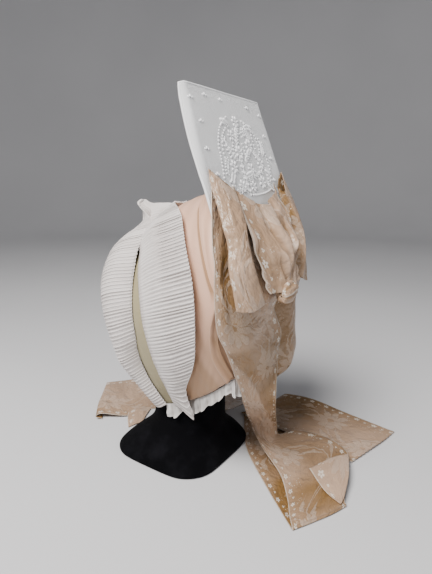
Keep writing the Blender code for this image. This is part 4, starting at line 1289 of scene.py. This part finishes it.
ribbonSettings = {
    "wall": 0.5,
    "columns": 44,
    "rowsEach": 9,
    "lowest": 0.45,
    "flatWidth": 0.088,
    "wave": (1.5, 0.7),
    "valley": 3.4,
    "hollow": 2.0,
    "creaseStep": 1.6,
    "pinking": {"teeth": 15.0, "long": 1.5},
    # how deep in shade each tail's satin is: station, then four places from its left edge
    "leftShade": (
        (0.0, 0.25, 0.35, 0.35, 0.35), (2.0, 0.05, 0.85, 0.35, 0.25), (4.0, 0.05, 0.90, 0.30, 0.30),
        (5.0, 0.0, 0.40, 0.25, 0.40), (6.0, 0.0, 0.40, 0.45, 0.50), (7.0, 0.0, 0.10, 0.15, 0.20),
        (9.0, 0.0, 0.05, 0.20, 0.35), (11.0, 0.0, 0.05, 0.15, 0.55), (12.0, 0.0, 0.08, 0.35, 0.75),
        (13.0, 0.05, 0.25, 0.65, 0.80), (14.0, 0.30, 0.70, 0.85, 0.80), (16.0, 0.50, 0.80, 0.80, 0.70),
        (17.0, 0.55, 0.80, 0.75, 0.60), (18.0, 0.90, 1.0, 1.0, 1.0), (19.0, 0.60, 0.95, 0.95, 0.95),
        (20.0, 0.0, 0.60, 0.85, 0.85), (21.0, 0.50, 0.80, 0.90, 0.90), (22.0, 0.90, 1.0, 1.0, 1.0),
        (23.0, 1.0, 1.0, 1.0, 1.0), (24.0, 0.85, 0.75, 0.95, 1.0), (25.0, 0.55, 0.10, 0.35, 0.80),
        (26.0, 0.45, 0.15, 0.15, 0.30),
    ),
    "rightShade": (
        (0.0, 0.95, 0.80, 0.45, 0.30), (5.0, 1.0, 0.85, 0.45, 0.20), (7.0, 1.0, 0.90, 0.70, 0.50),
        (10.0, 0.60, 0.40, 0.20, 0.20), (13.0, 0.45, 0.15, 0.05, 0.15), (14.0, 0.35, 0.15, 0.05, 0.10),
        (15.0, 0.80, 0.60, 0.60, 0.60), (16.0, 1.0, 1.0, 1.0, 1.0),
    ),
    # where the near tail is folded over on itself, by its stations: share of its width
    "crease": ((4.0, 0.0), (5.0, 0.02), (6.0, 0.22), (7.0, 0.33), (8.0, 0.52), (9.0, 0.70),
               (11.0, 0.95)),
    # three lines of three points each
    "flap": (
        ((-18.5, 150.1, 10.0), (-48.9, 164.4, 11.5), (-64.1, 176.2, 11.5)),
        ((1.8, 171.9, 9.0), (-11.6, 180.8, 12.0), (-28.9, 188.0, 13.0)),
        ((9.7, 188.4, 7.4), (11.0, 193.5, 7.4), (2.8, 193.7, 7.8)),
    ),
    "layer": (
        ((-14.0, -104.5, 1.2), (-26.0, -94.0, 4.0), (-36.9, -84.0, 1.2)),
        ((3.0, -90.0, 3.4), (-8.0, -83.0, 5.0), (-18.0, -76.0, 2.0)),
        ((18.0, -74.0, 1.0), (9.0, -72.0, 1.4), (-2.0, -69.0, 1.0)),
    ),
    # four points across the ribbon at each station, from the bow to its end
    "left": (
        ((66.0, 85.8, 300.0), (46.0, 88.2, 293.0), (26.0, 91.2, 284.5), (8.0, 93.7, 277.0)),
        ((82.0, 97.2, 269.0), (64.0, 97.3, 268.0), (36.0, 98.7, 263.0), (5.0, 100.4, 258.0)),
        ((90.0, 105.0, 238.0), (76.0, 107.8, 237.0), (40.0, 108.2, 236.0), (4.0, 108.2, 236.0)),
        ((93.0, 107.0, 208.0), (82.0, 117.5, 207.0), (42.0, 119.6, 204.0), (6.0, 121.0, 203.0)),
        ((90.0, 108.0, 180.0), (76.0, 118.0, 178.0), (44.0, 121.0, 178.0), (9.0, 118.5, 184.0)),
        ((78.0, 108.0, 161.0), (65.0, 117.0, 158.0), (36.0, 122.0, 160.0), (3.0, 121.0, 163.0)),
        ((65.0, 108.5, 135.0), (50.0, 116.0, 134.0), (26.0, 121.5, 134.0), (1.0, 120.5, 138.0)),
        ((52.0, 106.5, 116.0), (36.5, 111.5, 115.5), (16.0, 115.5, 116.0), (-2.0, 118.0, 119.0)),
        ((28.5, 96.9, 92.0), (22.5, 105.8, 92.0), (14.5, 113.6, 93.0), (8.3, 122.4, 95.0)),
        ((-6.2, 80.6, 62.0), (-8.4, 91.6, 62.0), (-10.5, 102.4, 62.0), (-14.5, 112.1, 62.0)),
        ((-31.8, 71.5, 34.0), (-33.3, 82.3, 33.0), (-36.7, 92.0, 32.0), (-45.9, 98.7, 31.0)),
        ((-40.0, 72.5, 15.0), (-38.0, 85.4, 14.0), (-41.3, 94.0, 14.0), (-51.0, 99.3, 16.0)),
        ((-22.0, 95.3, 9.5), (-30.1, 107.3, 9.5), (-48.9, 110.6, 9.5), (-80.0, 109.0, 10.0)),
        ((4.2, 127.8, 8.0), (-22.2, 137.1, 8.0), (-55.2, 141.7, 8.5), (-84.9, 145.7, 9.5)),
        ((32.0, 149.0, 6.5), (0.0, 159.0, 7.5), (-34.0, 167.0, 8.0), (-70.0, 173.0, 9.0)),
        ((49.0, 159.0, 5.2), (24.0, 171.0, 6.0), (-4.0, 180.0, 7.0), (-36.0, 186.0, 8.0)),
        ((56.0, 164.0, 4.6), (39.0, 174.5, 4.8), (20.0, 185.0, 5.2), (1.0, 194.0, 5.6)),
        ((58.5, 166.0, 2.7), (41.5, 176.5, 2.7), (22.0, 188.0, 2.7), (3.0, 196.5, 3.0)),
        ((56.0, 162.5, 0.8), (39.0, 172.5, 0.8), (20.0, 183.0, 0.8), (0.0, 191.5, 0.8)),
        ((15.0, 114.0, 0.8), (-6.0, 127.0, 0.8), (-27.0, 142.0, 0.8), (-50.0, 150.0, 0.8)),
        ((-28.0, 69.0, 0.8), (-52.0, 80.0, 0.8), (-79.0, 95.0, 0.8), (-108.0, 106.0, 0.8)),
        ((-86.0, 32.0, 0.8), (-105.0, 42.0, 0.8), (-125.0, 52.0, 0.8), (-146.0, 62.0, 1.4)),
        ((-90.0, 26.0, 2.6), (-109.0, 36.0, 3.2), (-130.0, 46.0, 5.0), (-153.0, 56.0, 8.0)),
        ((-86.0, 34.0, 4.4), (-105.0, 45.0, 5.6), (-128.0, 56.0, 9.0), (-153.0, 63.0, 14.0)),
        ((-80.0, 80.0, 4.2), (-105.0, 88.0, 4.6), (-135.0, 95.0, 6.6), (-163.0, 98.0, 11.0)),
        ((-74.0, 130.0, 3.6), (-102.0, 134.0, 3.8), (-132.0, 138.0, 4.4), (-161.0, 142.0, 6.0)),
        ((-66.0, 180.0, 2.0), (-95.0, 189.0, 3.0), (-126.0, 198.0, 3.0), (-156.0, 204.0, 1.6)),
    ),
    "right": (
        ((6.0, 106.0, 224.0), (-26.0, 110.6, 224.0), (-44.0, 110.0, 224.0), (-60.0, 108.6, 224.0)),
        ((10.0, 110.0, 206.0), (-28.0, 118.0, 206.0), (-52.0, 114.5, 206.0), (-76.0, 108.5, 206.0)),
        ((12.0, 108.0, 174.0), (-28.0, 118.0, 174.0), (-54.0, 111.0, 174.0), (-79.0, 98.0, 175.0)),
        ((11.0, 107.0, 147.0), (-30.0, 120.0, 147.0), (-55.0, 110.0, 147.0), (-80.0, 94.0, 148.0)),
        ((6.0, 106.0, 127.0), (-32.0, 119.5, 127.0), (-57.0, 111.0, 127.0), (-82.0, 99.0, 128.0)),
        ((-4.0, 106.0, 109.0), (-36.0, 115.0, 109.0), (-60.0, 107.0, 109.0), (-84.0, 98.0, 109.0)),
        ((-22.0, 105.0, 96.0), (-42.0, 103.0, 95.0), (-64.0, 97.0, 93.0), (-88.0, 89.0, 92.0)),
        ((-36.0, 88.0, 82.0), (-56.0, 85.0, 79.0), (-78.0, 78.0, 75.0), (-102.0, 70.0, 72.0)),
        ((-54.0, 62.0, 54.0), (-72.0, 60.0, 50.0), (-93.0, 54.0, 44.0), (-118.0, 46.0, 38.0)),
        ((-68.0, 34.0, 24.0), (-88.0, 30.0, 18.0), (-110.0, 24.0, 12.0), (-138.0, 16.0, 8.0)),
        ((-74.0, -2.0, 4.0), (-96.0, -8.0, 2.0), (-122.0, -16.0, 1.2), (-150.0, -24.0, 1.2)),
        ((-72.0, -42.0, 1.2), (-92.0, -52.0, 1.2), (-118.0, -68.0, 1.2), (-146.0, -84.0, 1.2)),
        ((-36.0, -80.0, 1.2), (-60.0, -98.0, 1.8), (-86.0, -122.0, 1.8), (-114.0, -148.0, 1.2)),
        ((-2.0, -94.0, 2.0), (-24.0, -116.0, 5.0), (-50.0, -142.0, 4.0), (-82.0, -172.0, 1.4)),
        ((20.0, -118.0, 7.5), (2.0, -137.0, 10.0), (-27.0, -161.0, 8.0), (-56.0, -186.0, 4.0)),
        ((27.0, -123.0, 4.5), (7.0, -141.0, 6.0), (-23.0, -165.0, 5.0), (-53.0, -189.0, 2.5)),
        ((22.0, -117.0, 1.4), (3.0, -135.0, 1.6), (-26.0, -160.0, 1.4), (-57.0, -184.0, 0.8)),
    ),
}


def ribbonPoint(stations, u, v):
    across = [throughPoints([station[index] for station in stations], v) for index in range(4)]
    return throughPoints(across, u)


def ribbonLength(stations):
    middle = [ribbonPoint(stations, 0.5, step / 120.0) for step in range(121)]
    return sum((end - start).length for start, end in zip(middle, middle[1:]))


def makeTail(name, stations, node, shadeTable, seed):
    settings = ribbonSettings
    length = ribbonLength(stations)
    rows = (len(stations) - 1) * settings["rowsEach"]
    # distance along the ribbon at each row, so the weave keeps its scale
    marks = [0.0]
    for step in range(rows):
        start = ribbonPoint(stations, 0.5, step / rows)
        end = ribbonPoint(stations, 0.5, (step + 1) / rows)
        marks.append(marks[-1] + (end - start).length)

    def place(u, v):
        point = ribbonPoint(stations, u, v)
        across = (ribbonPoint(stations, min(u + 0.02, 1.0), v)
                  - ribbonPoint(stations, max(u - 0.02, 0.0), v))
        ahead = (ribbonPoint(stations, u, min(v + 0.004, 1.0))
                 - ribbonPoint(stations, u, max(v - 0.004, 0.0)))
        out = across.cross(ahead)
        out = out.normalized() if out.length > 0.000001 else Vector((0.0, 0.0, 1.0))
        high = ease(6.0, 30.0, point.z)
        alongRibbon = marks[min(int(v * rows + 0.5), rows)]
        wave = (settings["wave"][0] * crumple((u * 3.0, alongRibbon * 0.030, seed), 1.0)
                + settings["wave"][1] * crumple((u * 7.0, alongRibbon * 0.07, seed + 5.0), 1.0))
        station = v * (len(stations) - 1)
        # soft folds down the near tail's hanging part, and a crease where it turns in under the cap
        valley, hollow, turned = 0.0, 0.0, 0.0
        if node == "ribbon_tail_left":
            hanging = ease(158.0, 196.0, point.z) * (1.0 - ease(228.0, 250.0, point.z))
            valley = math.exp(-((u - 0.30) / 0.10) ** 2) * hanging
            hollow = math.exp(-((u - 0.74) / 0.09) ** 2) * hanging * 0.5
            crease = readTable(settings["crease"], station)[0]
            turning = ease(4.7, 5.3, station) * (1.0 - ease(9.4, 11.0, station))
            turned = ease(crease - 0.02, crease + 0.04, u) * turning
            point = point - out * settings["creaseStep"] * turning * (1.0 - turned)
        lifted = settings["valley"] * valley + settings["hollow"] * hollow
        point = point + out * (wave * (0.12 + 0.88 * high) + lifted)
        # the end is pinked
        pinked = ease(0.985, 1.0, v)
        if pinked and ahead.length:
            pinking = settings["pinking"]
            tooth = 2.0 * abs((u * pinking["teeth"]) % 1.0 - 0.5) - 0.5
            point = point + ahead.normalized() * pinking["long"] * pinked * tooth
        point.z = max(point.z, settings["lowest"])
        # painted shade read from the tables, with tone that differs at random, and more painted shade in
        # the hollow and beyond the crease
        shades = [(share / 3.0, value) for share, value in enumerate(readTable(shadeTable, station))]
        shade = readTable(shades, u)[0] + 0.28 * crumple((u * 3.0, alongRibbon * 0.04, seed + 9.0), 1.0)
        return point, shade + 0.30 * hollow + 0.50 * turned

    tail = makeCloth(name, columns=settings["columns"], rows=rows, place=place, wall=settings["wall"],
                     finish=satin, cut=(satinLook["width"], length * mm))
    # the map runs by length along the ribbon, not by station
    clothUv = tail.data.uv_layers["clothMap"]
    for loop in clothUv.data:
        row = loop.uv[1] / (length * mm) * rows
        loop.uv[1] = marks[min(int(row + 0.5), rows)] * mm
    addToCoif(tail, "champagne_satin_brocade", node)


def makeTurnedCorner(name, rows, flat):
    # a small part of the ribbon apart from its tail: a corner turned over, or a layer under it
    def place(u, v):
        lines = [throughPoints(row, u) for row in rows]
        point = throughPoints(lines, v)
        point.z = max(point.z + 0.8 * crumple(point, 0.06), ribbonSettings["lowest"])
        return point, 0.02 + 0.3 * crumple(point, 0.05)

    corner = makeCloth(name, columns=40, rows=40, place=place, wall=ribbonSettings["wall"],
                       finish=satin, cut=flat)
    addToCoif(corner, "champagne_satin_brocade")


# The studio.

studioSettings = {
    "paper": ((0.62, 0.62, 0.635, 1.0), (0.66, 0.66, 0.675, 1.0)),
    # in metres: how far out the floor is flat, the radius it bends up on, its height there
    "flat": 2.2,
    "bend": 1.2,
    "height": 3.2,
    "air": (0.86, 0.88, 0.92, 1.0),
    "airStrength": 0.16,
    # place, what it points at, size, power, colour
    "keyLight": ((0.93, 0.06, 1.36), (0.0, 0.05, 0.2), 0.80, 50.0, (1.0, 0.975, 0.95)),
    "fillLight": ((0.45, 1.7, 0.7), (0.0, 0.05, 0.15), 1.2, 7.0, (0.97, 0.98, 1.0)),
    "cameraPlace": (0.3728, 0.2975, 0.2968),
    # in degrees: how far it looks down, and which way it faces
    "cameraDown": 13.0,
    "cameraTurn": 124.0,
    "lens": 27.9,
}


def makeStudio():
    # a pale floor that sweeps up all round, far from the piece
    settings = studioSettings
    flat, bend = settings["flat"], settings["bend"]
    shape = bmesh.new()
    profile = [(0.0, 0.0), (0.6, 0.0), (1.2, 0.0), (flat, 0.0)]
    for step in range(1, 13):
        angle = math.pi / 2.0 * step / 12.0
        profile.append((flat + bend * math.sin(angle), bend - bend * math.cos(angle)))
    profile.append((flat + bend, settings["height"]))
    line = [shape.verts.new((radius, 0.0, z)) for radius, z in profile]
    edges = [shape.edges.new(pair) for pair in zip(line, line[1:])]
    bmesh.ops.spin(shape, geom=line + edges, axis=(0.0, 0.0, 1.0), cent=(0.0, 0.0, 0.0),
                   angle=2.0 * math.pi, steps=96, use_merge=True)
    bmesh.ops.remove_doubles(shape, verts=shape.verts, dist=0.0001)
    bmesh.ops.recalc_face_normals(shape, faces=shape.faces)
    material, tree, shader = startMaterial("studioPaper")
    place = addNode(tree, "ShaderNodeTexCoord").outputs["Object"]
    tone = fade(tree, clothNoise(tree, place, 1.5, 2.0), 0.2, 0.8)
    tree.links.new(mixColour(tree, tone, *settings["paper"]), shader.inputs["Base Color"])
    setSockets(shader, {"Roughness": 0.9, "Specular IOR Level": 0.15})
    floor = finishPiece("studioFloor", shape, material)


def addLight(name, place, target, size, power, colour):
    data = bpy.data.lights.new(name, "AREA")
    data.shape = "DISK"
    data.size = size
    data.energy = power
    data.color = colour
    lamp = bpy.data.objects.new(name, data)
    bpy.context.collection.objects.link(lamp)
    lamp.location = place
    lamp.rotation_euler = (Vector(target) - Vector(place)).to_track_quat("-Z", "Y").to_euler()


def makeLightsAndCamera():
    settings = studioSettings
    world = bpy.data.worlds.new("studioAir")
    world.use_nodes = True
    air = world.node_tree.nodes["Background"]
    air.inputs["Color"].default_value = settings["air"]
    air.inputs["Strength"].default_value = settings["airStrength"]
    bpy.context.scene.world = world
    for name in ("keyLight", "fillLight"):
        addLight(name, *settings[name])
    camera = bpy.data.objects.new("photoCamera", bpy.data.cameras.new("photoCamera"))
    bpy.context.collection.objects.link(camera)
    camera.data.sensor_fit = "AUTO"
    camera.data.sensor_width = 36.0
    camera.data.lens = settings["lens"]
    camera.data.clip_start = 0.01
    camera.location = settings["cameraPlace"]
    camera.rotation_euler = (math.radians(90.0 - settings["cameraDown"]), 0.0,
                             math.radians(settings["cameraTurn"]))
    bpy.context.scene.camera = camera


makeStand()
print("stand made")
makeHood()
makeCaul()
print("hood and caul made")
makeFrills()
print("frills made")
makeNapeFrill()
print("nape frill made")
makeBoard()
makeWhitework()
print("board and whitework made")
makeBow()
makeTail("ribbonTailLeft", ribbonSettings["left"], "ribbon_tail_left",
         ribbonSettings["leftShade"], seed=0.0)
makeTail("ribbonTailRight", ribbonSettings["right"], "ribbon_tail_right",
         ribbonSettings["rightShade"], seed=20.0)
makeTurnedCorner("ribbonFlap", ribbonSettings["flap"], (0.045, 0.040))
makeTurnedCorner("ribbonLayer", ribbonSettings["layer"], (0.034, 0.040))
print("bow and ribbons made")
makeStudio()
makeLightsAndCamera()
